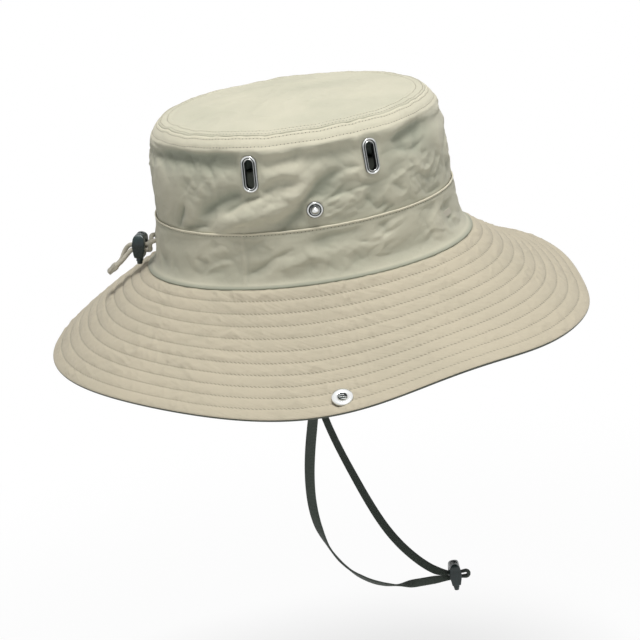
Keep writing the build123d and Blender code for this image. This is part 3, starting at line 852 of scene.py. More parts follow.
class Finishes:
    """Every material of the hat, built once."""

    def __init__(self, brim: BrimForm) -> None:
        """Builds the materials; the brim's stitch rows go into its two cloths."""
        rows = {"row_spacing": brim.row_spacing, "row_count": brim.rows}
        self.crown = WovenCloth("khaki_cloth", (0.572, 0.546, 0.424), (0.484, 0.474, 0.364)).material()
        self.brim = WovenCloth("khaki_quilted_cloth", (0.512, 0.455, 0.340), (0.455, 0.412, 0.309),
                               mottle=0.35, fold_height=1.0, **rows).material()
        self.lining = WovenCloth("lining_cloth", (0.110, 0.120, 0.095), (0.080, 0.090, 0.072),
                                 thread=0.6).material()
        self.underside = WovenCloth("underside_cloth", (0.085, 0.092, 0.070), (0.060, 0.067, 0.052),
                                    **rows).material()
        self.thread = SewingThread("khaki_thread", (0.585, 0.525, 0.395)).material()
        # Painted shade: dark marks between the stitches stand for the shade in the needle holes.
        self.hole = SewingThread("needle_hole_shade", (0.150, 0.140, 0.105)).material()
        self.dark_thread = SewingThread("dark_thread", (0.10, 0.10, 0.075)).material()
        self.strap = Braid("strap_braid", (0.019, 0.028, 0.021), (0.056, 0.071, 0.056)).material()
        self.drawcord = Braid("drawcord_braid", (0.38, 0.355, 0.28), (0.55, 0.515, 0.415), rib=1.4).material()
        self.metal = PolishedMetal("polished_metal").material()
        # Painted shade: the spring is the same polished metal, painted darker for the shade in the socket's
        # mouth.
        self.wire = PolishedMetal("spring_wire", (0.30, 0.31, 0.30), roughness=0.27).material()
        self.plastic = MouldedPlastic("lock_plastic").material()
        self.floor = StudioCard("studio_card").material()


def dress(piece: Piece, material: bpy.types.Material) -> Piece:
    """Gives a piece its one finish.

    Args:
        piece: the piece.
        material: its finish.

    Returns:
        The same piece.
    """
    piece.data.materials.clear()
    piece.data.materials.append(material)
    return piece


def fit(piece: Piece, material: bpy.types.Material, slot: str, body: str, *nodes: str) -> Piece:
    """Dresses a piece, puts it on its body and lets it stand for its nodes.

    Args:
        piece: the piece.
        material: its finish.
        slot: a slot's name; not used.
        body: the body that it rides on.
        nodes: the nodes that it stands for.

    Returns:
        The same piece.
    """
    dress(piece, material)
    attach(piece, body)
    if nodes:
        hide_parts(*nodes)
    return piece


# ---- the hat's form ----
@dataclass(frozen=True)
class CrownForm:
    """The crown's oval wall: the outside of the band below, and of the side panel above."""

    half_length: float = 95.3
    half_width: float = 83.0
    height: float = 93.8
    flare_length: float = 11.3
    flare_width: float = 5.2
    flare_height: float = 12.0
    shoulder_length: float = 8.2
    shoulder_width: float = 4.0
    dome: float = 5.2
    band_height: float = 34.0
    wall_levels: Pairs = (
        (0, 1.0), (3, 1.9), (8, 2.3), (17, 2.4), (26, 1.7), (34, 0.95), (42, 0.3), (52, 0.0), (94, 0.0))

    def half_axes(self, z: Array) -> tuple[Array, Array]:
        """Half width and half length of the oval at height z."""
        flare = np.exp(-((np.clip(z, 0, None) / self.flare_height) ** 0.6))
        shoulder = np.clip(z / self.height, 0, None) ** 9
        return (self.half_width + self.flare_width * flare - self.shoulder_width * shoulder,
                self.half_length + self.flare_length * flare - self.shoulder_length * shoulder)

    def inset(self, z: Array) -> Array:
        """How far the side panel lies inside the outer form at height z."""
        heights, insets = zip(*self.wall_levels)
        return np.interp(z, heights, insets)

    def outward(self, turn: Array, z: Array) -> Array:
        """Level direction out of the wall."""
        wide, long = self.half_axes(z)
        return unit(stack(np.cos(turn) / wide, np.sin(turn) / long, 0.0))

    def point(self, turn: Array, z: Array, out: Array | float = 0.0) -> Array:
        """Point on the outer form, moved outward by out. turn runs from the left side to the rear."""
        wide, long = self.half_axes(z)
        return (stack(wide * np.cos(turn), long * np.sin(turn), z)
                + self.outward(turn, z) * np.broadcast_to(out, np.shape(turn))[:, None])

    def seat(self, y: float, z: float) -> Seat:
        """Seat of a fastener on the left wall: along runs up the wall.

        Args:
            y: its place toward the rear.
            z: its height.

        Returns:
            The seat.
        """
        turn = math.asin(y / float(self.half_axes(np.array([z]))[1][0]))
        heights = np.array([z, z + 1, z - 1, z, z])
        turns = np.array([turn, turn, turn, turn + 0.01, turn - 0.01])
        here, above, below, behind, ahead = self.point(turns, heights, -self.inset(heights))
        along = unit(above - below)
        out = unit(np.cross(behind - ahead, along))
        return Seat(here, along, np.cross(out, along), out)


@dataclass(frozen=True)
class BrimForm:
    """The brim's curved sheet, from the crown's seam to the rim, with the slow waves of worn cloth."""

    crown: CrownForm
    width: float = 91.5
    width_swing: float = 2.0
    width_lean: float = -3.5
    slope: float = 33.8
    slope_swing: float = 1.8
    slope_quarter: float = 3.6
    slope_lean: float = 1.3
    slope_third: float = 2.9
    curl: float = 20.0
    curl_swing: float = 14.0
    thickness: float = 2.7
    rows: int = 10
    rim_waves: Pairs = ((28, 1.2), (75, -2.4), (143, 0.7), (175, -0.7), (205, 3.8), (228, -5.6), (256, 0.9),
                        (285, 3.3), (325, -2.0))
    middle_waves: Pairs = ((75, 4.2),)
    wave_width: float = 0.32
    draws: Pairs = ((235, -1.6), (270, -5.6), (300, 0.9))
    draw_width: float = 0.35

    @property
    def row_spacing(self) -> float:
        """Distance between two stitch rows."""
        return self.width / (self.rows + 1)

    @staticmethod
    def waves(turn: Array, hills: Sequence[tuple[float, float]], width: float) -> Array:
        """Sum of low hills, each given by its place in degrees and its height.

        Args:
            turn: angle round the hat, from the left side.
            hills: the hills.
            width: half width of each, in radians.

        Returns:
            The height at each turn.
        """
        total = np.zeros_like(turn)
        for degrees, height in hills:
            away = (turn - math.radians(degrees) + math.pi) % (2 * math.pi) - math.pi
            total = total + height * bump(away, width)
        return total

    def profile(self, turn: Array) -> tuple[Array, Array, Array]:
        """Width, curl and seam slope of the brim's section at each turn."""
        swing, lean = np.cos(2 * turn), np.sin(turn)
        width = (self.width + self.width_swing * swing + self.width_lean * lean
                 + self.waves(turn, self.draws, self.draw_width))
        slope = (self.slope + self.slope_swing * swing + self.slope_quarter * np.cos(4 * turn)
                 + self.slope_lean * lean + self.slope_third * np.sin(3 * turn))
        curl = self.curl + self.curl_swing * swing
        return width, np.radians(curl), np.radians(slope + curl / 2)

    def point(self, turn: Array, share: Array, lift: Array | float = 0.0) -> Array:
        """Point on the upper surface, or above it by lift.

        Args:
            turn: angle round the hat, from the left side to the rear.
            share: place across the brim, 0 at the seam and 1 at the rim.
            lift: height above the sheet.

        Returns:
            The points.
        """
        width, curl, seam_slope = self.profile(turn)
        radius = width / curl
        slope = seam_slope - share * curl
        reach = radius - lift
        out = radius * np.sin(seam_slope) - reach * np.sin(slope)
        up = radius * np.cos(seam_slope) - reach * np.cos(slope)
        start = self.crown.point(turn, np.zeros_like(turn))
        up = (up + self.waves(turn, self.rim_waves, self.wave_width) * share ** 2
              + self.waves(turn, self.middle_waves, self.wave_width) * 4 * share * (1 - share))
        return start + self.crown.outward(turn, np.zeros_like(turn)) * out[:, None] + UP * up[:, None]

    def outward(self, turn: Array, share: Array) -> Array:
        """Direction out of the upper surface."""
        _, curl, seam_slope = self.profile(turn)
        slope = seam_slope - share * curl
        return (self.crown.outward(turn, np.zeros_like(turn)) * np.sin(slope)[:, None]
                + UP * np.cos(slope)[:, None])

    def seat(self, y: float, share: float) -> Seat:
        """Seat of a fastener on the left side of the brim: out runs up out of the cloth.

        Args:
            y: its place toward the rear.
            share: place across the brim, from 0 to 1.

        Returns:
            The seat.
        """
        turn, place = np.zeros(1), np.full(1, share)
        origin = self.point(turn, place)[0]
        origin[1] = y
        out = self.outward(turn, place)[0]
        across = np.array([0.0, 1.0, 0.0])
        return Seat(origin, across, np.cross(out, across), out)


# ---- crown ----
@dataclass(frozen=True)
class Fold:
    """One fold of the crown's cloth, along a line of (y, z) places on the wearer's right.

    A positive rise is a ridge and a negative one a valley. The flank above the line and the one below it have
    their own widths, and a low power makes the crest sharp.
    """

    places: Pairs
    rise: float
    above: float
    below: float
    power: float = 1.7

    def height(self, y: Array, z: Array) -> Array:
        """Height that the fold gives the cloth at each place.

        Args:
            y: places toward the rear.
            z: heights.

        Returns:
            One height for each place.
        """
        line = through(self.places, np.linspace(0, 1, 17))
        step = np.diff(line, axis=0)
        away = stack(y, z)[:, None] - line[None, :-1]
        part = np.clip((away * step).sum(-1) / (step ** 2).sum(-1), 0, 1)
        rest = away - part[..., None] * step
        reach = np.hypot(rest[..., 0], rest[..., 1])
        nearest = reach.argmin(1)
        row = np.arange(len(nearest))
        over = (step[nearest, 0] * away[row, nearest, 1] - step[nearest, 1] * away[row, nearest, 0]) < 0
        share = (nearest + part[row, nearest]) / len(step)
        fade = ease(share, -0.12, 0.3) * (1 - ease(share, 0.7, 1.12))
        width = np.where(over, self.above, self.below)
        return self.rise * fade * np.exp(-(reach[row, nearest] / width) ** self.power)


WALL_FOLDS = (
    Fold(((60, 33), (42, 41), (28, 45), (13, 51), (3, 57), (-7, 66)), 2.5, 9.0, 4.5, 1.5),
    Fold(((20, 30), (12, 39), (3, 47), (-5, 57), (-12, 63), (-29, 67)), -2.0, 3.5, 6.5, 1.4),
    Fold(((68, 42), (58, 51), (47, 57), (38, 58)), -1.8, 4.0, 5.0, 1.4),
    Fold(((51, 46), (43, 51), (34, 56), (24, 56)), -1.5, 3.2, 2.6, 1.2),
    Fold(((30, 63), (14, 70), (0, 67)), 1.3, 6.0, 3.5, 1.5),
    Fold(((27, 59), (15, 62), (2, 62)), -1.3, 3.0, 5.0, 1.4),
    Fold(((24, 74), (12, 78), (0, 80), (-20, 81)), -0.9, 3.0, 4.5, 1.5),
    Fold(((76, 51), (79, 43), (82, 34)), -1.5, 2.0, 1.8, 1.2),
    Fold(((77, 35), (70, 37), (62, 38)), -1.2, 2.2, 1.6, 1.2),
    Fold(((-8, 50), (-22, 52), (-34, 54), (-49, 54)), -1.3, 3.4, 1.8, 1.2),
    Fold(((-14, 60), (-26, 63), (-40, 66)), 1.1, 4.0, 4.0, 1.6),
    Fold(((-36, 48), (-42, 38)), -1.2, 2.4, 2.0, 1.2),
    Fold(((-41, 37), (-50, 40)), -1.0, 2.2, 1.6, 1.2),
    Fold(((-46, 33), (-53, 38)), -0.9, 1.8, 1.8, 1.2),
    Fold(((-55, 51), (-61, 43)), -1.0, 2.4, 2.0, 1.2),
    Fold(((-76, 36), (-86, 36)), -1.0, 2.4, 1.8, 1.3),
    Fold(((-59, 71), (-70, 67), (-80, 71)), -1.0, 2.4, 2.4, 1.3),
    Fold(((-56, 76), (-68, 80), (-84, 80)), -1.8, 2.6, 9.0, 1.5),
    Fold(((90, 79), (76, 81), (58, 82), (38, 82)), -1.4, 3.0, 6.0, 1.5))
BAND_FOLDS = (
    Fold(((45, 6), (33, 12), (23, 18), (11, 22)), -1.3, 2.2, 3.4, 1.2),
    Fold(((22, 9), (8, 14), (-2, 17)), 1.0, 4.0, 5.0, 1.6),
    Fold(((-44, 29), (-47, 20)), -0.8, 3.2, 3.2, 1.4),
    Fold(((-87, 25), (-92, 12)), -1.3, 3.0, 3.4, 1.4),
    Fold(((73, 17), (66, 14)), -0.8, 2.0, 2.2, 1.3),
    Fold(((4, 24), (-16, 27), (-34, 26)), -0.7, 3.0, 4.0, 1.5))


@dataclass
class Hardware:
    """Where the metal sits in the cloth, on the left side."""

    crown: CrownForm
    brim: BrimForm
    eyelet_y: tuple[float, float] = (-42.0, 32.2)
    eyelet_height: float = 71.3
    snap_y: float = -4.0
    stud_height: float = 45.0
    stud_seat: float = 0.2
    socket_share: float = 0.88
    socket_seat: float = 0.17

    def eyelets(self) -> list[tuple[str, Seat]]:
        """The front and the rear eyelet's seats, by name."""
        return [(name, self.crown.seat(y, self.eyelet_height))
                for name, y in zip(("front", "rear"), self.eyelet_y)]

    def stud(self) -> Seat:
        """The stud's seat."""
        return self.crown.seat(self.snap_y, self.stud_height)

    def socket(self) -> Seat:
        """The socket's seat."""
        return self.brim.seat(self.snap_y, self.socket_share)


@dataclass
class Crown:
    """The crumpled crown: side panel, domed top, band, sweatband, tape and their topstitching."""

    form: CrownForm
    hardware: Hardware
    finishes: Finishes
    wall: float = 1.0
    slot_half_length: float = 10.3
    slot_half_width: float = 3.5
    slot_reach: float = 12.0
    tuck: float = 2.2
    seam_rows: tuple[float, float] = (1.9, 6.3)
    wall_radius: float = 90.0
    seam_radius: float = 88.0
    top_radius: float = 87.0
    band_radius: float = 92.0
    band_joint: float = math.radians(154)
    stitch: Stitch = Stitch(pitch=2.3, length=1.6, width=0.44, height=0.3)
    noise: Noise = field(default_factory=lambda: Noise(7))
    fine: Noise = field(default_factory=lambda: Noise(23))

    def quiet(self, points: Array) -> Array:
        """Share of the crumpling left near the metal, which holds the cloth flat.

        Args:
            points: places on the crown.

        Returns:
            The share at each point.
        """
        calm = np.ones(len(points))
        seats = [(seat, 7.0) for _, seat in self.hardware.eyelets()] + [(self.hardware.stud(), 0.0)]
        for seat, straight in seats:
            for side in Side:
                local = seat.on(side).local(points)
                beyond = np.maximum(np.abs(local[:, 0]) - straight, 0)
                reach = np.sqrt(beyond ** 2 + local[:, 1] ** 2 + local[:, 2] ** 2)
                calm *= 0.10 + 0.90 * ease(reach, 5.0, 9.5)
        return calm

    def crumple(self, points: Array) -> Array:
        """Height of the cloth's creases at each point of the wall, which mostly slant up toward the front.

        Args:
            points: places on the crown.

        Returns:
            The height at each point.
        """
        drift = stack(self.noise.at(points + 31, 46), self.noise.at(points + 67, 46),
                      self.noise.at(points + 101, 46)) * 12
        moved = points + drift
        across, along = moved @ (0.0, 0.56, 0.83), moved @ (0.0, -0.83, 0.56)
        slanted = stack(moved[:, 0] * 0.7, across, along * 0.42)
        crossing = stack(moved[:, 0] * 0.7, moved @ (0.0, -0.5, 0.87), moved @ (0.0, 0.87, 0.5) * 0.6) + 50
        folds = 1.3 * self.noise.at(slanted, 20) - 0.9 * self.noise.crease(slanted + 57, 24)
        small = 0.75 * self.fine.crease(slanted + 113, 13) - 0.85 * self.fine.crease(crossing, 14)
        tiny = 0.34 * self.fine.at(slanted + 5, 5.0) - 0.42 * self.fine.crease(crossing + 90, 6.5)
        patchy = ease(self.noise.at(points + 143, 34), -0.35, 0.4)
        return folds + small * (0.4 + 0.6 * patchy) + tiny * (0.25 + 0.75 * patchy) + 0.35

    @staticmethod
    def placed(folds: Sequence[Fold], points: Array) -> Array:
        """Height of the named folds; on the wearer's left they lie the other way round.

        Args:
            folds: the folds.
            points: places on the crown.

        Returns:
            The height at each point.
        """
        right = points[:, 0] < 0
        y = np.where(right, points[:, 1], 8 - points[:, 1])
        near = 1 - ease(np.abs(points[:, 1]), 91, 97)
        rear = 1.35 + 0.8 * ease(y, 12, 42) * ease(points[:, 2], 34, 46)
        return rear * near * np.where(right, 1.0, 0.8) * sum(fold.height(y, points[:, 2]) for fold in folds)

    def ring(self, turn: Array) -> Array:
        """Places on a plain level ring as wide as the wall, at which noise is read."""
        return stack(np.cos(turn), np.sin(turn), 0.0) * self.wall_radius

    def strip(self, turn: Array, z: Array) -> Array:
        """Lift of the strip that leans in to the top seam, above a soft ridge with a hollow under it.

        Args:
            turn: angle round the hat, from the left side.
            z: height above the crown's foot.

        Returns:
            The lift at each place.
        """
        top, side = self.form.height, bump(np.abs(np.cos(turn)) - 1, 0.35)
        foot = top - 8.3 - 1.6 * side + 1.7 * self.noise.at(self.ring(turn) + 201, 27)
        peak = 2.1 * side - 0.6
        over = z - foot
        climb = np.clip(over / (top - foot), 0, 1)
        under = peak * np.exp(-(np.abs(over) / 3.4) ** 1.3) - 1.2 * bump(over + 7.5, 4.2)
        return np.where(over > 0, peak - (peak + self.tuck) * climb, under)

    def seam_wave(self, turn: Array) -> Array:
        """Height by which the top seam wanders."""
        return 0.9 * self.noise.at(self.ring(turn), 24) + 0.5 * self.fine.at(self.ring(turn), 9)

    def side_point(self, turn: Array, z: Array) -> tuple[Array, Array]:
        """Places on the side panel and the height of the cloth there.

        Args:
            turn: angle round the hat, from the left side.
            z: height above the crown's foot.

        Returns:
            The places, and the heights.
        """
        base = self.form.point(turn, z, -self.form.inset(z))
        top = self.form.height
        band = self.form.band_height
        free = ease(z, band - 3, band + 7) * (1 - ease(z, top - 13, top - 5))
        quiet = self.quiet(base)
        lift = (self.crumple(base) * free * quiet
                + self.placed(WALL_FOLDS, base) * (0.2 + 0.8 * quiet) * (1 - ease(z, top - 7, top - 2)))
        allowance = 0.5 * ease(z, top - 9.5, top - 8.2) * (1 - ease(z, top - 1.2, top))
        rows = -0.34 * sum(bump(z - (top - row), 0.7) for row in self.seam_rows)
        pucker = 0.20 * self.fine.at(base * (1, 1, 0.4), 2.8) * ease(z, top - 9, top - 6)
        lift = lift + (allowance + rows + pucker) * (0.25 + 0.75 * quiet)
        height = z + self.seam_wave(turn) * ease(z, top - 14, top) - 0.5 * ease(z, top - 1.6, top)
        strip = self.strip(turn, z) * (0.4 + 0.6 * quiet)
        # Half of the hollow under the strip goes into the height that sets the painted shade.
        dent = np.minimum(strip, 0) * (z < top - 8)
        return self.form.point(turn, height, lift + strip - self.form.inset(z)), lift + 0.5 * dent

    def around(self, name: str, columns: int, section: Array, shape: Callable[[Array, Array, Array], Array],
               radius: float, start: float = math.pi / 2, marks: dict[str, Array] | None = None) -> Piece:
        """A sheet that runs right round the wall.

        Args:
            name: the piece's name.
            columns: how many faces there are round the wall.
            section: its upright section, in rows of (out, z).
            shape: gives the place of each (turn, out, z).
            radius: the radius on which the flat cloth's length is measured.
            start: turn at which its two ends meet.
            marks: numbers to store on the vertices, which shape fills in.

        Returns:
            The new piece, with its two ends made one.
        """
        rank = np.arange(len(section))

        def at(u: Array, v: Array) -> list[Array]:
            place = v * rank[-1]
            return [start + 2 * math.pi * u, *(np.interp(place, rank, column) for column in section.T)]

        def flat(u: Array, v: Array) -> Array:
            turn, _, z = at(u, v)
            return stack(turn * radius, z)

        piece = cloth_grid(name, columns, len(section) - 1, lambda u, v: shape(*at(u, v)), flat,
                           lambda u, v: self.form.outward(at(u, v)[0], at(u, v)[2]), marks)
        weld(piece, 0.02)
        return piece

    @staticmethod
    def hollow(lift: Array, strength: float = 0.8) -> Array:
        """How much painted shade the cloth gets where it lies low."""
        return np.clip(0.12 - lift / 3.4, 0, 1) * strength

    def side_panel(self) -> Piece:
        """The crown's wall, with the eyelets' slots cut through it."""
        heights = np.concatenate([np.linspace(0, 30, 7)[:-1], np.linspace(30, self.form.height, 76)])
        marks: dict[str, Array] = {}

        def shape(turn: Array, _: Array, z: Array) -> Array:
            points, lift = self.side_point(turn, z)
            # Painted light: low places get painted shade, and the strip that leans in under the top seam gets
            # a painted highlight.
            leaning = ease(self.strip(turn, z) - self.strip(turn, z - 1.5), 0.3, -0.2)
            marks.update(hollow=self.hollow(lift), pale=0.5 * leaning * ease(z, 80, 84))
            return points

        piece = self.around("side_panel_cloth", 570, stack(0.0, heights), shape, self.wall_radius,
                            marks=marks)
        self._cut_slots(piece)
        self._line(piece)
        return fit(piece, self.finishes.crown, "khaki_cloth", "hat", "left_crown_side_panel",
                   "right_crown_side_panel")

    def _line(self, piece: Piece) -> None:
        """Thickens a panel and marks its inner face, which the cloth paints dark as the shade inside the
        crown.
        """
        count = len(piece.data.vertices)
        thicken(piece, self.wall)
        mark(piece, "inside", np.arange(len(piece.data.vertices)) >= count)

    def _cut_slots(self, piece: Piece) -> None:
        """Cuts the cloth away inside each eyelet."""
        centres = np.array([face.center for face in piece.data.polygons]) / MM
        inside = np.zeros(len(centres), bool)
        half = self.slot_half_length - self.slot_half_width
        for _, seat in self.hardware.eyelets():
            for side in Side:
                local = seat.on(side).local(centres)
                beyond = np.maximum(np.abs(local[:, 0]) - half, 0)
                inside |= ((np.hypot(beyond, local[:, 1]) < self.slot_half_width)
                           & (np.abs(local[:, 2]) < self.slot_reach))
        edit(piece, lambda: bpy.ops.mesh.select_all(action="DESELECT"))
        piece.data.polygons.foreach_set("select", inside)
        bpy.ops.object.mode_set(mode="EDIT")
        bpy.ops.mesh.select_mode(type="FACE")
        bpy.ops.mesh.delete(type="FACE")
        bpy.ops.object.mode_set(mode="OBJECT")

    def top_point(self, x: Array, y: Array) -> tuple[Array, Array]:
        """Places on the top panel, for x and y on the unit disc, and the height of the cloth there.

        Args:
            x: place to the left.
            y: place toward the rear.

        Returns:
            The places, and the heights.
        """
        radius = np.hypot(x, y)
        turn = np.arctan2(y, x)
        edge = self.form.point(turn, self.form.height + self.seam_wave(turn), 0.5 - self.tuck)
        flat = edge * np.minimum(radius, 1.0)[:, None]
        inward = (1 - radius) * self.seam_radius
        level = flat * (1, 1, 0)
        soft = 1.3 * self.noise.at(level + 300, 44) + 0.6 * self.noise.at(level + 411, 19)
        creases = 0.5 * (self.fine.crease(flat * (1, 1.4, 0) + 500, 24) - 0.3)
        free = ease(inward, 4.0, 26.0)
        allowance = 0.45 * ease(inward, 0.2, 1.0) * (1 - ease(inward, 8.2, 9.4))
        rows = -0.26 * sum(bump(inward - row, 0.7) for row in self.seam_rows)
        seam = stack(turn * self.seam_radius, inward * 0.4, 0.0)
        pucker = 0.14 * self.fine.at(seam, 2.6) * (1 - ease(inward, 7, 10))
        lift = (soft + creases) * free + allowance + rows + pucker
        rise = self.form.dome * (1 - radius ** 2) + lift
        sink = -0.75 * bump(inward, 0.4)
        height = self.form.height + self.seam_wave(turn) * radius ** 6 + rise + sink
        return stack(flat[:, 0], flat[:, 1], height), lift

    def top_panel(self) -> Piece:
        """The domed top, from a square grid eased into an oval."""
        marks: dict[str, Array] = {}

        def disc(u: Array, v: Array) -> tuple[Array, Array]:
            a, b = 2 * u - 1, 2 * v - 1
            return a * np.sqrt(1 - b ** 2 / 2), b * np.sqrt(1 - a ** 2 / 2)

        def shape(u: Array, v: Array) -> Array:
            points, lift = self.top_point(*disc(u, v))
            # Painted shade where the top lies low, weaker than on the wall.
            marks["hollow"] = self.hollow(lift, 0.3)
            return points

        piece = cloth_grid("top_panel_cloth", 170, 170, shape,
                           lambda u, v: stack(*disc(u, v)) * self.top_radius, lambda u, v: UP, marks)
        self._line(piece)
        return fit(piece, self.finishes.crown, "khaki_cloth", "hat", "crown_top_panel")

    def band_point(self, turn: Array, z: Array) -> tuple[Array, Array]:
        """Places on the band and the height of the cloth there.

        Args:
            turn: angle round the hat, from the left side.
            z: height above the crown's foot.

        Returns:
            The places, and the heights.
        """
        base = self.form.point(turn, z)
        height = self.form.band_height
        free = ease(z, 1.5, 9) * (1 - ease(z, height - 7, height - 2.5))
        tunnel = 0.5 * bump(z - 17.5, 6.0)
        lift = (0.75 * self.crumple(base + 400) + self.placed(BAND_FOLDS, base)) * free
        beside = (turn - self.band_joint) * self.band_radius
        seam = bump(beside, 1.1) - 0.7 * bump(beside - 1.8, 0.9)
        row = -0.32 * bump(z - (height - self.seam_rows[0]), 0.6)
        edge = row + 0.22 * self.fine.at(base, 3.2) * bump(z - height, 4.5)
        lip = 0.12 * bump(z - 1.4, 1.6) + 0.4 * ease(z, height - 1.6, height - 0.7)
        return base, lift + tunnel + 0.5 * seam * ease(z, 0, 3) + edge + lip

    def band(self) -> Piece:
        """The band, its upper edge folded over and its lower edge rolled under at the brim."""
        height = self.form.band_height
        hem = through([(-0.9, -1.5), (0.05, -0.6), (0.0, 0.0), (0.0, 3.0)], np.linspace(0, 1, 7))
        body = stack(0.0, np.linspace(3.8, height - 0.9, 40))
        fold = through([(0.0, height - 0.5), (-0.15, height - 0.1), (-0.55, height), (-1.0, height - 0.4)],
                       np.linspace(0, 1, 6))
        marks: dict[str, Array] = {}

        def shape(turn: Array, out: Array, z: Array) -> Array:
            base, lift = self.band_point(turn, z)
            # Painted light: low places and a line along the foot at the brim get painted shade, and the
            # folded upper edge gets a painted highlight.
            marks.update(hollow=self.hollow(lift - 3.6 * (1 - ease(z, 0.2, 1.5))),
                         pale=0.9 * ease(z, height - 1.6, height - 0.6))
            wave = 0.25 * self.fine.at(base * (1, 1, 0), 14) * ease(z, height - 5, height)
            return self.form.point(turn, z + wave, lift + out)

        piece = self.around("band_cloth", 560, np.concatenate([hem, body, fold]), shape, self.band_radius,
                            marks=marks)
        thicken(piece, 0.7)
        return fit(piece, self.finishes.crown, "khaki_cloth", "hat", "crown_band")

    def inner_ring(self, name: str, node: str, low: float, high: float, depth: float, thickness: float,
                   wave: float) -> Piece:
        """A ring of soft tape inside the wall, with rolled edges.

        Args:
            name: the piece's name.
            node: the CAD node that it stands for.
            low: its lower edge.
            high: its upper edge.
            depth: distance behind the outside of the wall.
            thickness: its own thickness.
            wave: how far it stands off in waves.

        Returns:
            The new piece.
        """
        def shape(turn: Array, _: Array, z: Array) -> Array:
            soft = self.fine.at(self.form.point(turn, z) * (1, 1, 0.6), 17)
            inner = depth + self.form.inset(z) + wave * (0.5 + 0.5 * soft)
            edge = 0.35 * (bump(z - low, 1.2) + bump(z - high, 1.2))
            return self.form.point(turn, z, edge - inner)

        section = stack(0.0, np.linspace(low, high, 17))
        piece = self.around(name, 300, section, shape, self.seam_radius, start=0)
        thicken(piece, thickness)
        return fit(piece, self.finishes.lining, "lining_cloth", "hat", node)

    def stitching(self) -> list[Piece]:
        """Topstitching round both sides of the top seam, and along the band's upper edge."""
        turn = np.linspace(0, 2 * math.pi, 1400)
        out = self.form.outward(turn, np.full_like(turn, 60.0))
        lines = []

        def add(points: Array, normals: Array) -> None:
            lengths = path_lengths(points)
            pitch = self.stitch.pitch
            lines.append((points, normals, lengths * round(lengths[-1] / pitch) * pitch / lengths[-1]))

        for row in self.seam_rows:
            points, _ = self.side_point(turn, np.full_like(turn, self.form.height - row))
            add(points + out * 0.1, unit(out + UP * 0.45))
        for row in self.seam_rows:
            share = 1 - row / self.seam_radius
            points, _ = self.top_point(np.cos(turn) * share, np.sin(turn) * share)
            add(points + UP * 0.1, unit(out * 0.25 + UP))
        z = np.full_like(turn, self.form.band_height - self.seam_rows[0])
        _, lift = self.band_point(turn, z)
        add(self.form.point(turn, z, lift + 0.06), out)
        # Painted shade: small dark marks between the stitches stand for the shade in the needle holes.
        holes = replace(self.stitch, length=0.95, width=0.62, height=0.16, sink=0.0)
        return [fit(self.stitch.sew("crown_topstitching", lines), self.finishes.thread, "khaki_cloth", "hat"),
                fit(holes.sew("crown_needle_holes", lines, 0.0), self.finishes.hole, "khaki_cloth", "hat")]

    def build(self) -> list[Piece]:
        """Builds the crown's pieces, all on the hat's body."""
        return [self.side_panel(), self.top_panel(), self.band(),
                self.inner_ring("sweatband_cloth", "sweatband", low=-1.2, high=33.4, depth=1.25,
                                thickness=1.0, wave=0.5),
                self.inner_ring("seam_tape_cloth", "crown_seam_tape", low=84.8, high=91.6, depth=3.8,
                                thickness=0.5, wave=0.3),
                *self.stitching()]


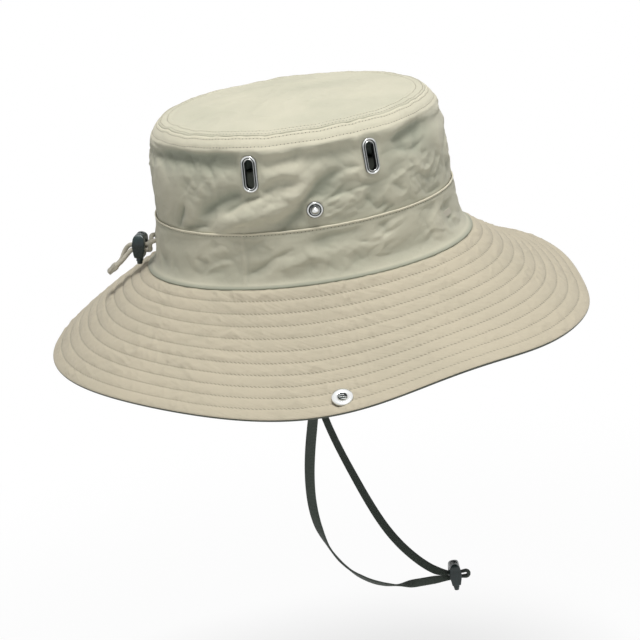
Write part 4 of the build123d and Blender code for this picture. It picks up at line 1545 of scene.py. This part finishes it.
# ---- brim ----
@dataclass
class Brim:
    """The quilted brim, as a left and a right half."""

    form: BrimForm
    finishes: Finishes
    snap: Seat
    columns: int = 600
    steps: int = 8
    puff: float = 0.34
    stitch: Stitch = Stitch(pitch=2.5, length=1.65, width=0.42, height=0.28)
    fold_start: float = 92.3
    fold_end: float = 115.0
    press_reach: float = 5.2
    press_depth: float = 0.6
    under_share: float = 0.75
    side_radius: float = 130.0
    noise: Noise = field(default_factory=lambda: Noise(41))
    fine: Noise = field(default_factory=lambda: Noise(59))

    def turn_of(self, side: Side, u: Array) -> Array:
        """Angle round the hat for u, from the front at 0 to the rear at 1."""
        return -math.pi / 2 + side.value * math.pi * u

    def quilt(self, turn: Array, share: Array) -> Array:
        """Height of the quilted cloth above the brim's plain surface.

        Args:
            turn: angle round the hat, from the left side.
            share: place across the brim, from 0 to 1.

        Returns:
            The height at each place.
        """
        spot = self.form.point(turn, share)
        channel = share * (self.form.rows + 1)
        beside = np.abs(channel - np.rint(channel)) * self.form.row_spacing
        near_row = np.where((channel > 0.5) & (channel < self.form.rows + 0.5), bump(beside, 0.8), 0)
        swell = np.sin(np.pi * (channel - np.floor(channel)))
        rest = self.form.row_spacing / 2
        slanted = spot + stack(self.noise.at(spot, 30), self.noise.at(spot + 77, 30), 0 * share) * 8
        wrinkle = self.fine.at(slanted * (1.0, 0.55, 1.0), 5.2) * 0.42
        pleats = self.fine.crease(slanted * (0.6, 1.0, 1.0) + 40, 9.0) * 0.55
        pucker = self.fine.at(spot + 200, 2.9) * 0.20 * (0.4 + 0.6 * bump(beside, rest / 2))
        lively = 0.35 + 0.65 * ease(self.noise.at(spot + 300, 42), -0.45, 0.4)
        creases = (wrinkle + pleats) * lively * (0.35 + swell)
        return self.puff * (swell - 0.6) - 0.24 * near_row + creases + pucker

    def side_seam(self, turn: Array) -> Array:
        """Groove of the seam that joins the brim's front and rear cloth at each side."""
        from_left = np.abs((turn + math.pi) % (2 * math.pi) - math.pi)
        beside = np.abs(from_left - math.pi * (np.cos(turn) < 0)) * self.side_radius
        return -0.16 * bump(beside, 0.6) + 0.10 * bump(beside - 2.4, 1.2)

    def edge_line(self, upper: bool) -> tuple[Array, Array]:
        """Share across the brim and depth below the surface, from the seam round the rim's half.

        The underside's cloth rolls up past the middle of the rim, so that it shows as a dark edge.

        Args:
            upper: whether it is the upper cloth.

        Returns:
            The shares, and the depths.
        """
        radius = self.form.thickness / 2
        across = np.linspace(0, 1, (self.form.rows + 1) * self.steps + 1)
        roll = np.radians(np.linspace(15, 60, 5) if upper else np.linspace(15, 121, 8))
        width = self.form.width
        share = across * (1 - radius / width)
        share = np.concatenate([share, 1 - radius / width + radius * np.sin(roll) / width])
        depth = np.concatenate([np.zeros(len(across)), radius * (1 - np.cos(roll))])
        return share, depth

    def sheet(self, side: Side, upper: bool) -> Piece:
        """One half of the upper cloth or of the underside.

        Args:
            side: the hat's side.
            upper: whether it is the upper cloth.

        Returns:
            The new piece.
        """
        shares, depths = self.edge_line(upper)
        rank = np.arange(len(shares))
        width, thickness = self.form.width, self.form.thickness
        marks: dict[str, Array] = {}

        def at(u: Array, v: Array) -> tuple[Array, Array, Array]:
            place = v * (len(shares) - 1)
            return self.turn_of(side, u), np.interp(place, rank, shares), np.interp(place, rank, depths)

        def shape(u: Array, v: Array) -> Array:
            turn, share, depth = at(u, v)
            calm = 1 - ease(share, 1 - 2.4 / width, 1 - 0.6 / width)
            wave = (self.quilt(turn, share) + self.side_seam(turn)) * calm
            reach = np.linalg.norm(self.form.point(turn, share) - self.snap.on(side).origin, axis=1)
            pressed = np.exp(-(reach / self.press_reach) ** 6)
            wave = wave * (1 - pressed) - self.press_depth * pressed
            # Painted shade: low places of the quilting and a line along the seam at the crown are painted
            # darker.
            inner_edge = 1.8 * (1 - ease(share * width, 0.4, 1.8))
            marks["hollow"] = np.clip(-0.08 - (wave - inner_edge) / 1.3, 0, 1) * 0.4
            if upper:
                return self.form.point(turn, share, wave - 1.1 * bump(share * width, 1.3) - depth)
            return self.form.point(turn, share, depth - thickness - self.under_share * wave)

        def flat(u: Array, v: Array) -> Array:
            share = at(u, v)[1]
            return stack(self.lengths(side, share, u), share * width)

        name = f"{side.word}_brim_{'cloth' if upper else 'underside'}"
        way = 1 if upper else -1
        piece = cloth_grid(name, self.columns, len(shares) - 1, shape, flat,
                           lambda u, v: way * self.form.outward(*at(u, v)[:2]), marks)
        finish = self.finishes.brim if upper else self.finishes.underside
        return dress(piece, finish)

    def lengths(self, side: Side, share: Array, u: Array) -> Array:
        """Distance along the cloth from the front, at each share across the brim.

        Args:
            side: the hat's side.
            share: place across the brim, from 0 to 1.
            u: place round the half, from the front.

        Returns:
            The distance at each place.
        """
        rings, steps = 11, 360
        turn = self.turn_of(side, np.linspace(0, 1, steps + 1))
        table = np.array([path_lengths(self.form.point(turn, np.full_like(turn, ring)))
                          for ring in np.linspace(0, 1, rings + 1)])
        lower = np.clip((share * rings).astype(int), 0, rings - 1)
        rest = share * rings - lower
        step = np.clip((u * steps).astype(int), 0, steps - 1)
        part = u * steps - step

        def read(row: Array) -> Array:
            return table[row, step] * (1 - part) + table[row, step + 1] * part

        return read(lower) * (1 - rest) + read(lower + 1) * rest

    def stitching(self, side: Side, upper: bool) -> Piece:
        """The stitch rows of one half.

        Args:
            side: the hat's side.
            upper: whether it is the upper cloth.

        Returns:
            The new piece.
        """
        u = np.linspace(0, 1, 900)
        turn = self.turn_of(side, u)
        lines = []
        for row in range(1, self.form.rows + 1):
            share = np.full_like(u, row / (self.form.rows + 1))
            wave = self.quilt(turn, share) + self.side_seam(turn)
            out = self.form.outward(turn, share)
            lift = wave + 0.02 if upper else -self.form.thickness - self.under_share * wave - 0.02
            lines.append((self.form.point(turn, share, lift), out if upper else -out,
                          self.lengths(side, share, u)))
        piece = self.stitch.sew(f"{side.word}_brim_{'stitching' if upper else 'under_stitching'}", lines)
        return dress(piece, self.finishes.thread if upper else self.finishes.dark_thread)

    def build(self) -> list[Piece]:
        """Builds both halves in place of the brim's and the flaps' CAD parts, which it hides."""
        pieces = []
        for side in Side:
            upper, under = self.sheet(side, True), self.sheet(side, False)
            word = side.word
            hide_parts(f"{word}_flap_upper", f"{word}_flap_interlining", f"{word}_brim_fold")
            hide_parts(f"{word}_flap_underside")
            if side is Side.LEFT:
                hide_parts("brim_upper", "brim_interlining")
                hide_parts("brim_underside")
            for piece in (upper, under, self.stitching(side, True), self.stitching(side, False)):
                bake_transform(piece)
                pieces.append(piece)
        return pieces


# ---- fasteners ----
@dataclass
class Fasteners:
    """Vent eyelets and ring snaps."""

    hardware: Hardware
    finishes: Finishes
    eyelet_straight: float = 12.9
    brim_thickness: float = 2.7
    wire_radius: float = 0.27
    spring_size: float = 0.9
    spring_height: float = 1.5

    def eyelet(self, name: str, seat: Seat) -> Piece:
        """Obround eyelet: domed rim, groove, bright inner lip, barrel and rolled end, with painted shade in
        the groove, the barrel and along the straight sides.

        Args:
            name: the piece's name.
            seat: where it sits.

        Returns:
            The new piece.
        """
        profile = [(4.84, 0.0, 1.0), (4.95, 0.5, 0.8), (4.82, 0.95, 0.3), (4.42, 1.15, 0.0),
                   (3.98, 1.08, 0.25), (3.7, 0.85, 0.8), (3.48, 0.7, 1.0), (3.25, 0.82, 0.6),
                   (3.0, 1.04, 0.0), (2.74, 0.95, 0.1), (2.6, 0.5, 0.6), (2.58, -0.6, 0.9),
                   (2.6, -2.4, 1.0), (2.9, -3.1, 0.5), (3.5, -3.35, 0.1), (4.0, -3.1, 0.1),
                   (3.9, -2.8, 0.5), (3.45, -2.7, 0.9), (3.38, -1.6, 0.9), (3.4, -0.35, 0.9),
                   (3.9, -0.05, 0.9), (4.5, 0.0, 1.0)]
        piece = lathe(name, seat, profile, self.eyelet_straight)
        # Painted reflection: the straight sides are painted darker, so that only the rounded ends stay
        # bright.
        along = np.abs(seat.local(corners_of(piece))[:, 0])
        self._darken(piece, 0.5 * (1 - ease(along, 6.6, 10.0)))
        return piece

    def stud(self, name: str, seat: Seat) -> Piece:
        """Flange with a raised rim round a dished floor, a neck and a bright ball, with painted shade in the
        dish, at the neck and on the ball's underside.

        Args:
            name: the piece's name.
            seat: where it sits.

        Returns:
            The new piece.
        """
        profile = [(0, 4.0, 0.0), (0.9, 3.82, 0.0), (1.75, 3.25, 0.0), (2.3, 2.3, 0.2), (2.3, 1.5, 0.7),
                   (1.85, 0.95, 1.0), (1.72, 0.62, 1.0), (2.0, 0.42, 0.9), (2.7, 0.40, 0.65),
                   (3.3, 0.52, 0.5), (3.9, 0.92, 0.3), (4.4, 1.08, 0.15), (4.85, 0.84, 0.45),
                   (5.1, 0.4, 0.8), (5.1, 0.02, 1.0), (3.0, 0.0, 1.0), (0, 0.0, 1.0)]
        piece = lathe(name, seat, profile)
        # Painted shade: the ball is painted darker on its lower side, as if lit from above.
        local = seat.local(corners_of(piece))
        below = ease(-local[:, 0], -0.4, 1.6) * (1 - ease(np.hypot(local[:, 0], local[:, 1]), 2.3, 2.6))
        self._darken(piece, 0.55 * below)
        return piece

    def socket(self, name: str, seat: Seat) -> Piece:
        """Thick bright ring with a rounded shoulder and a turned-in mouth, which is painted dark as shade
        along with the ring's foot.

        Args:
            name: the piece's name.
            seat: where it sits.

        Returns:
            The new piece.
        """
        profile = [(3.35, 0.02, 1.0), (5.2, 0.02, 1.0), (6.4, 0.04, 1.0), (6.66, 0.35, 0.8), (6.66, 1.3, 0.2),
                   (6.42, 1.95, 0.0), (5.75, 2.36, 0.0), (4.9, 2.42, 0.0), (3.9, 2.38, 0.0),
                   (3.15, 2.26, 0.15), (2.8, 2.02, 0.8), (2.85, 1.62, 1.0), (3.6, 1.46, 1.0),
                   (4.4, 1.44, 1.0), (4.5, 1.1, 1.0), (4.45, 0.6, 1.0), (3.9, 0.5, 1.0), (3.35, 0.45, 1.0)]
        return lathe(name, seat, profile)

    def cap(self, name: str, seat: Seat) -> Piece:
        """Domed cap under the brim, with the hollow post that comes up inside the socket.

        Args:
            name: the piece's name.
            seat: where it sits.

        Returns:
            The new piece.
        """
        low = -self.brim_thickness - 0.32
        # Painted shade: the top and the post, which face the brim and the socket, are painted dark; the dome
        # below is not.
        profile = [(0, 0.35, 1.0), (1.6, 0.3, 1.0), (2.55, 0.25, 1.0), (2.75, 0.6, 0.9), (2.95, 0.88, 0.8),
                   (3.2, 0.86, 1.0), (3.25, 0.4, 1.0), (3.22, -1.0, 1.0), (3.22, low, 0.8), (5.6, low, 0.8),
                   (6.4, low - 0.1, 0.4), (6.25, low - 0.45, 0.0), (5.0, low - 0.9, 0.0),
                   (2.8, low - 1.15, 0.0), (0, low - 1.2, 0.0)]
        return lathe(name, seat, profile)

    def spring(self, name: str, seat: Seat) -> Piece:
        """S-shaped spring of wire across the socket's mouth, whose metal is painted darker as the shade
        there.

        Args:
            name: the piece's name.
            seat: where it sits.

        Returns:
            The new piece.
        """
        route = [(-1.5, 1.7), (0.6, 1.75), (2.5, 1.75), (3.0, 1.1), (2.2, 0.2), (0.0, 0.0), (-2.2, -0.2),
                 (-3.0, -1.1), (-2.5, -1.75), (-0.6, -1.75), (1.5, -1.7)]
        line = through(route, np.linspace(0, 1, 60))
        points = seat.place(stack(*line.T * self.spring_size, self.spring_height))
        return band_piece(name, points, lambda u, turn: (self.wire_radius * np.cos(turn),
                                                         self.wire_radius * np.sin(turn)), 10, seat.out)

    def build(self) -> list[Piece]:
        """Builds the fasteners on both sides."""
        pieces = []
        for side in Side:
            flap = f"{side.word}_flap"
            stud = self.hardware.stud().raised(self.hardware.stud_seat).on(side)
            socket = self.hardware.socket().raised(self.hardware.socket_seat).on(side)
            turned = [(f"{place}_vent_eyelet", self.eyelet, seat.on(side), "hat")
                      for place, seat in self.hardware.eyelets()]
            turned += [("snap_stud", self.stud, stud, "hat"), ("snap_socket", self.socket, socket, flap),
                       ("snap_cap", self.cap, socket, flap)]
            for kind, make, seat, body in turned:
                node = f"{side.word}_{kind}"
                piece = make(f"{node}_metal", seat)
                pieces.append(fit(piece, self.finishes.metal, "polished_metal", body, node))
            node = f"{side.word}_snap_spring"
            piece = self.spring(f"{node}_wire", socket)
            pieces.append(fit(piece, self.finishes.wire, "spring_wire", flap, node))
        return pieces

    @staticmethod
    def _darken(piece: Piece, amount: Array) -> None:
        """Adds painted shade to the metal at each vertex."""
        painted_shade = np.empty(len(piece.data.vertices), np.float32)
        piece.data.attributes["painted_shade"].data.foreach_get("value", painted_shade)
        mark(piece, "painted_shade", np.clip(painted_shade + amount, 0, 1))


# ---- cords ----
@dataclass
class Cords:
    """The chin strap, the two drawcord strands, their locks and their sewn ends."""

    crown: CrownForm
    finishes: Finishes
    strap_width: float = 5.7
    strap_thickness: float = 1.45
    strap_width_in_lock: float = 3.5
    lock_share: float = 0.52
    strap_swells: Sequence[tuple[float, float, float]] = ((0.438, -1.4, 6), (0.195, 1.1, 45))
    cord_diameter: float = 3.0
    lay_length: float = 9.0
    strap_step: float = 1.2
    cord_step: float = 0.4
    tail_drop: float = math.radians(34.4)
    strap_twist: Pairs = (
        (0, 0), (0.06, 4), (0.27, 2), (0.30, 28), (0.326, 70), (0.35, 74), (0.37, 62), (0.385, 38),
        (0.41, 24), (0.425, 27), (0.438, 47), (0.452, 105), (0.462, 134), (0.495, 134), (0.503, 100),
        (0.51, 63), (0.515, 62), (0.522, 50), (0.53, 40), (0.54, 38), (0.548, 10), (0.56, -25),
        (0.60, -28), (0.66, -8), (0.72, 6), (0.78, 8), (0.88, -15), (1, -23))
    strap_route: Route = (
        (-0.0812, -0.0030, 0.0), (-0.0812, -0.0030, -0.0160), (-0.0780, 0.0010, -0.0360),
        (-0.0715, 0.0060, -0.0580), (-0.0635, 0.0106, -0.0800), (-0.0565, 0.0146, -0.1020),
        (-0.0513, 0.0189, -0.1236), (-0.0479, 0.0218, -0.1440), (-0.0442, 0.0228, -0.1646),
        (-0.0405, 0.0210, -0.1840), (-0.0360, 0.0160, -0.2020), (-0.0305, 0.0086, -0.2180),
        (-0.0250, -0.0014, -0.2316), (-0.0195, -0.0138, -0.2424), (-0.0135, -0.0282, -0.2496),
        (-0.0070, -0.0425, -0.2526), (-0.0022, -0.0545, -0.2546), (0.0, -0.0645, -0.2557),
        (0.0, -0.0742, -0.2557), (0.0, -0.0774, -0.2564), (0.0, -0.0792, -0.2540),
        (0.0, -0.0774, -0.2516), (0.0, -0.0742, -0.2523), (0.0, -0.0645, -0.2523),
        (0.0024, -0.0550, -0.2496), (0.0075, -0.0440, -0.2416), (0.0140, -0.0332, -0.2306),
        (0.0210, -0.0242, -0.2176), (0.0275, -0.0160, -0.2006), (0.0335, -0.0086, -0.1826),
        (0.0395, -0.0012, -0.1636), (0.0455, 0.0052, -0.1436), (0.0515, 0.0096, -0.1226),
        (0.0575, 0.0120, -0.1016), (0.0640, 0.0116, -0.0800), (0.0715, 0.0080, -0.0580),
        (0.0780, 0.0024, -0.0360), (0.0812, -0.0030, -0.0160), (0.0812, -0.0030, 0.0))
    right_route: Route = (
        (-0.0070, 0.0977, 0.0175), (-0.0070, 0.1019, 0.0175), (-0.0054, 0.1037, 0.0140),
        (-0.0032, 0.1033, 0.0106), (-0.00112, 0.10527, 0.01009), (0.00112, 0.11568, 0.01185),
        (0.0003, 0.1193, 0.0086), (-0.0016, 0.1237, 0.0048), (-0.0016, 0.1275, 0.0022))
    left_route: Route = (
        (0.0070, 0.0977, 0.0175), (0.0070, 0.1008, 0.0175), (0.0040, 0.1022, 0.0179),
        (0.0006, 0.1021, 0.0162), (-0.00112, 0.10472, 0.01335), (0.00112, 0.11513, 0.01511),
        (0.0029, 0.1188, 0.0132), (0.0030, 0.1216, 0.0092), (0.0016, 0.1237, 0.0048),
        (0.0016, 0.1275, 0.0022))

    def chin_strap(self) -> Piece:
        """The flat braid, which twists as it hangs and narrows through its lock."""
        route = even_route(smooth_route(self.strap_route), self.strap_step * MM) / MM
        share = np.linspace(0, 1, len(route))
        lengths = path_lengths(route)
        lock = lengths[-1] * self.lock_share
        beside = np.abs(lengths - lock)
        narrow = self.strap_width_in_lock
        width = narrow + (self.strap_width - narrow) * ease(beside, 12, 26)
        for place, wider, reach in self.strap_swells:
            width = width + wider * bump((share - place) * lengths[-1], reach)
        thickness = self.strap_thickness + 1.2 * bump(beside, 5)
        places, angles = zip(*self.strap_twist)
        twist = np.interp(share, places, angles)

        def outline(u: Array, turn: Array) -> tuple[Array, Array]:
            index = np.rint(u * (len(route) - 1)).astype(int)
            c, s = np.cos(turn), np.sin(turn)
            flat = np.sign(c) * np.abs(c) ** 0.55 * width[index] / 2
            thick = np.sign(s) * np.abs(s) ** 0.8 * thickness[index] / 2
            thick = thick * (1 - 0.22 * bump(flat / width[index], 0.13))
            angle = np.radians(twist[index])
            return flat * np.cos(angle) - thick * np.sin(angle), flat * np.sin(angle) + thick * np.cos(angle)

        piece = band_piece("chin_strap_braid", route, outline, 26, np.array([0.0, 1.0, 0.0]))
        fit(piece, self.finishes.strap, "strap_braid", "hat", "chin_strap")
        return piece

    def drawcord(self, name: str, node: str, route_points: Route, length: float) -> Piece:
        """One strand of drawcord, a smooth round braid.

        Args:
            name: the piece's name.
            node: the CAD node that it stands for.
            route_points: its route.
            length: its length, in metres; not used.

        Returns:
            The new piece.
        """
        route = even_route(smooth_route(route_points), self.cord_step * MM) / MM
        lengths = path_lengths(route)

        def outline(u: Array, turn: Array) -> tuple[Array, Array]:
            spin = 2 * math.pi * u * lengths[-1] / self.lay_length
            lobes = np.abs(np.cos(1.5 * (turn - spin)))
            radius = self.cord_diameter / 2 * (0.95 + 0.05 * lobes ** 0.6)
            return radius * np.cos(turn), radius * np.sin(turn)

        piece = band_piece(name, route, outline, 30, UP)
        fit(piece, self.finishes.drawcord, "drawcord_braid", "hat", node)
        return piece

    @staticmethod
    def sewn_block(name: str, cuts: int, shape: Callable[[Array], Array]) -> Piece:
        """A soft block, from a cube cut into a grid.

        Args:
            name: the piece's name.
            cuts: how often each edge of the cube is cut.
            shape: moves the corners of a cube one millimetre wide.

        Returns:
            The new piece.
        """
        deselect()
        bpy.ops.mesh.primitive_cube_add(size=1)
        piece = bpy.context.object
        piece.name = name
        edit(piece, lambda: bpy.ops.mesh.subdivide(number_cuts=cuts))
        place_corners(piece, shape(corners_of(piece) * MM))
        modify(piece, "SUBSURF", levels=2, render_levels=2)
        piece.data.shade_smooth()
        return piece

    def tail_end(self) -> Piece:
        """Cloth tab folded over both strands' ends, pinched where it is sewn."""
        low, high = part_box("drawcord_end")
        c, s = math.cos(self.tail_drop), math.sin(self.tail_drop)
        seat = Seat(np.array((low + high) / 2) / MM, np.array([0, c, -s]), np.array([1.0, 0, 0]),
                    np.array([0, s, c]))

        def shape(corners: Array) -> Array:
            local = corners * (7.0, 7.6, 4.2)
            sides = ease(np.abs(local[:, 1]), 2.6, 3.8)
            local[:, 2] *= 1 - 0.28 * bump(local[:, 0] - 1.2, 1.0) - 0.35 * sides
            local[:, 2] *= 1 - 0.25 * ease(local[:, 0], 1.5, 3.5)
            local[:, 1] *= 1 - 0.10 * ease(-local[:, 0], 1.0, 3.5)
            return seat.place(local)

        return fit(self.sewn_block("drawcord_end_tab", 7, shape), self.finishes.drawcord, "drawcord_braid",
                   "hat", "drawcord_end")

    def strap_end(self, side: Side) -> Piece:
        """The strap's end, folded back on itself and sewn down inside the sweatband.

        Args:
            side: the hat's side.

        Returns:
            The new piece.
        """
        node = f"{side.word}_strap_end"
        low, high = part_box(node)
        size, middle = np.array(high - low) / MM, np.array((low + high) / 2) / MM

        def shape(corners: Array) -> Array:
            pinch = 0.30 * (bump(corners[:, 2] - 0.22, 0.07) + bump(corners[:, 2] + 0.22, 0.07))
            corners[:, 0] *= 1 - pinch
            return middle + corners * size * (0.92, 0.96, 0.98)

        return fit(self.sewn_block(f"{node}_fold", 6, shape), self.finishes.strap, "strap_braid", "hat", node)

    def moulded(self, node: str, body: str) -> Piece:
        """A moulded plastic piece with softly rounded edges, over its own solid.

        Args:
            node: the solid that it is moulded over.
            body: the body that it rides on.

        Returns:
            The new piece.
        """
        piece = put(f"{node}_moulding", bpy.data.objects[node].data.copy())
        weld(piece, 0.002)
        modify(piece, "REMESH", mode="VOXEL", voxel_size=0.28 * MM)
        modify(piece, "SMOOTH", factor=0.5, iterations=5)
        piece.data.shade_smooth()
        return fit(piece, self.finishes.plastic, "lock_plastic", body, node)

    def build(self) -> list[Piece]:
        """Builds the cords, their ends and their locks."""
        pieces = [self.chin_strap(),
                  self.drawcord("drawcord_right_strand", "drawcord_right", self.right_route, 0.040),
                  self.drawcord("drawcord_left_strand", "drawcord_left", self.left_route, 0.042),
                  self.tail_end(), self.strap_end(Side.LEFT), self.strap_end(Side.RIGHT)]
        for lock in ("chin", "rear"):
            pieces.append(self.moulded(f"{lock}_lock_body", f"{lock}_lock"))
            pieces.append(self.moulded(f"{lock}_lock_plunger", f"{lock}_plunger"))
        return pieces


# ---- studio ----
@dataclass(frozen=True)
class Lamp:
    """A square soft box, with its power in watts."""

    name: str
    place: tuple[float, float, float]
    size: float
    power: float


@dataclass(frozen=True)
class Studio:
    """Camera, lamps, floor and world."""

    place: tuple[float, float, float] = (-1.25859, 0.02203, 0.38160)
    target: tuple[float, float, float] = (-0.016855, 0.000757, -0.048679)
    roll: float = 7.667
    lens: float = 113.06
    sensor: float = 36
    lamps: tuple[Lamp, ...] = (Lamp("key_lamp", (-0.42, -0.16, 1.80), size=0.6, power=35),
                               Lamp("fill_lamp", (-1.60, -0.70, 0.50), size=1.4, power=2))
    lamp_target: tuple[float, float, float] = (0, 0, 0.02)
    ambient: float = 0.33
    floor_height: float = -0.42
    floor_size: float = 14

    def camera(self) -> None:
        """The camera, on the wearer's right and a little above."""
        data = bpy.data.cameras.new("camera")
        data.lens = self.lens
        data.sensor_width = self.sensor
        data.clip_end = 20
        camera = put("camera", data)
        back = (Vector(self.place) - Vector(self.target)).normalized()
        right = Vector((0, 0, 1)).cross(back).normalized()
        up = back.cross(right)
        c, s = math.cos(math.radians(self.roll)), math.sin(math.radians(self.roll))
        right, up = right * c - up * s, right * s + up * c
        axes = Matrix((right, up, back)).transposed().to_4x4()
        camera.matrix_world = Matrix.Translation(self.place) @ axes
        bpy.context.scene.camera = camera

    def light(self, lamp: Lamp) -> None:
        """Sets up one lamp, aimed at the hat."""
        data = bpy.data.lights.new(lamp.name, "AREA")
        data.size = lamp.size
        data.energy = lamp.power
        turned = (Vector(self.lamp_target) - Vector(lamp.place)).to_track_quat("-Z", "Y").to_matrix().to_4x4()
        put(lamp.name, data).matrix_world = Matrix.Translation(lamp.place) @ turned

    def world(self) -> None:
        """White where the camera, a reflection or clear plastic sees it, and soft light elsewhere."""
        world = bpy.data.worlds.new("studio")
        world.use_nodes = True
        nodes, links = world.node_tree.nodes, world.node_tree.links
        background = nodes["Background"]
        background.inputs["Color"].default_value = (1, 1, 1, 1)
        strength = nodes.new("ShaderNodeMapRange")
        strength.inputs["To Min"].default_value = self.ambient
        strength.inputs["To Max"].default_value = 1.0
        links.new(direct_rays(nodes, links), strength.inputs["Value"])
        links.new(strength.outputs[0], background.inputs["Strength"])
        bpy.context.scene.world = world

    def floor(self, finish: bpy.types.Material) -> None:
        """Pale floor under everything that hangs."""
        deselect()
        bpy.ops.mesh.primitive_plane_add(size=self.floor_size, location=(0, 0, self.floor_height))
        floor = bpy.context.object
        floor.name = "studio_floor"
        floor.data.materials.append(finish)

    def build(self, finishes: Finishes) -> None:
        """Sets the stage."""
        self.camera()
        for lamp in self.lamps:
            self.light(lamp)
        self.world()
        self.floor(finishes.floor)
        bpy.context.scene.view_settings.view_transform = "Standard"


# ---- the whole hat ----
def dress_solids(frame: dict[str, object], finishes: Finishes) -> None:
    """Gives the fasteners, springs and hidden cord that stay as they are their finishes."""
    looks = {"vent_washer": finishes.metal, "snap_post": finishes.metal, "spring": finishes.wire,
             "drawcord_ring": finishes.drawcord}
    for name, node in frame["nodes"].items():
        for ending, finish in looks.items():
            if name.endswith(ending):
                dress(node, finish)


def main() -> None:
    """Loads the frame, builds every sub-assembly in order and reports its pieces."""
    logging.basicConfig(level=logging.INFO, format="%(name)s: %(message)s")
    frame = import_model()
    crown_form = CrownForm()
    brim_form = BrimForm(crown_form)
    hardware = Hardware(crown_form, brim_form)
    finishes = Finishes(brim_form)
    Studio().build(finishes)
    dress_solids(frame, finishes)
    assemblies = [Cords(crown_form, finishes), Crown(crown_form, hardware, finishes),
                  Brim(brim_form, finishes, hardware.socket()), Fasteners(hardware, finishes)]
    for assembly in assemblies:
        for piece in assembly.build():
            LOG.info("%s: %s, %d faces", type(assembly).__name__, piece.name, len(piece.data.polygons))


if __name__ == "__main__":
    main()
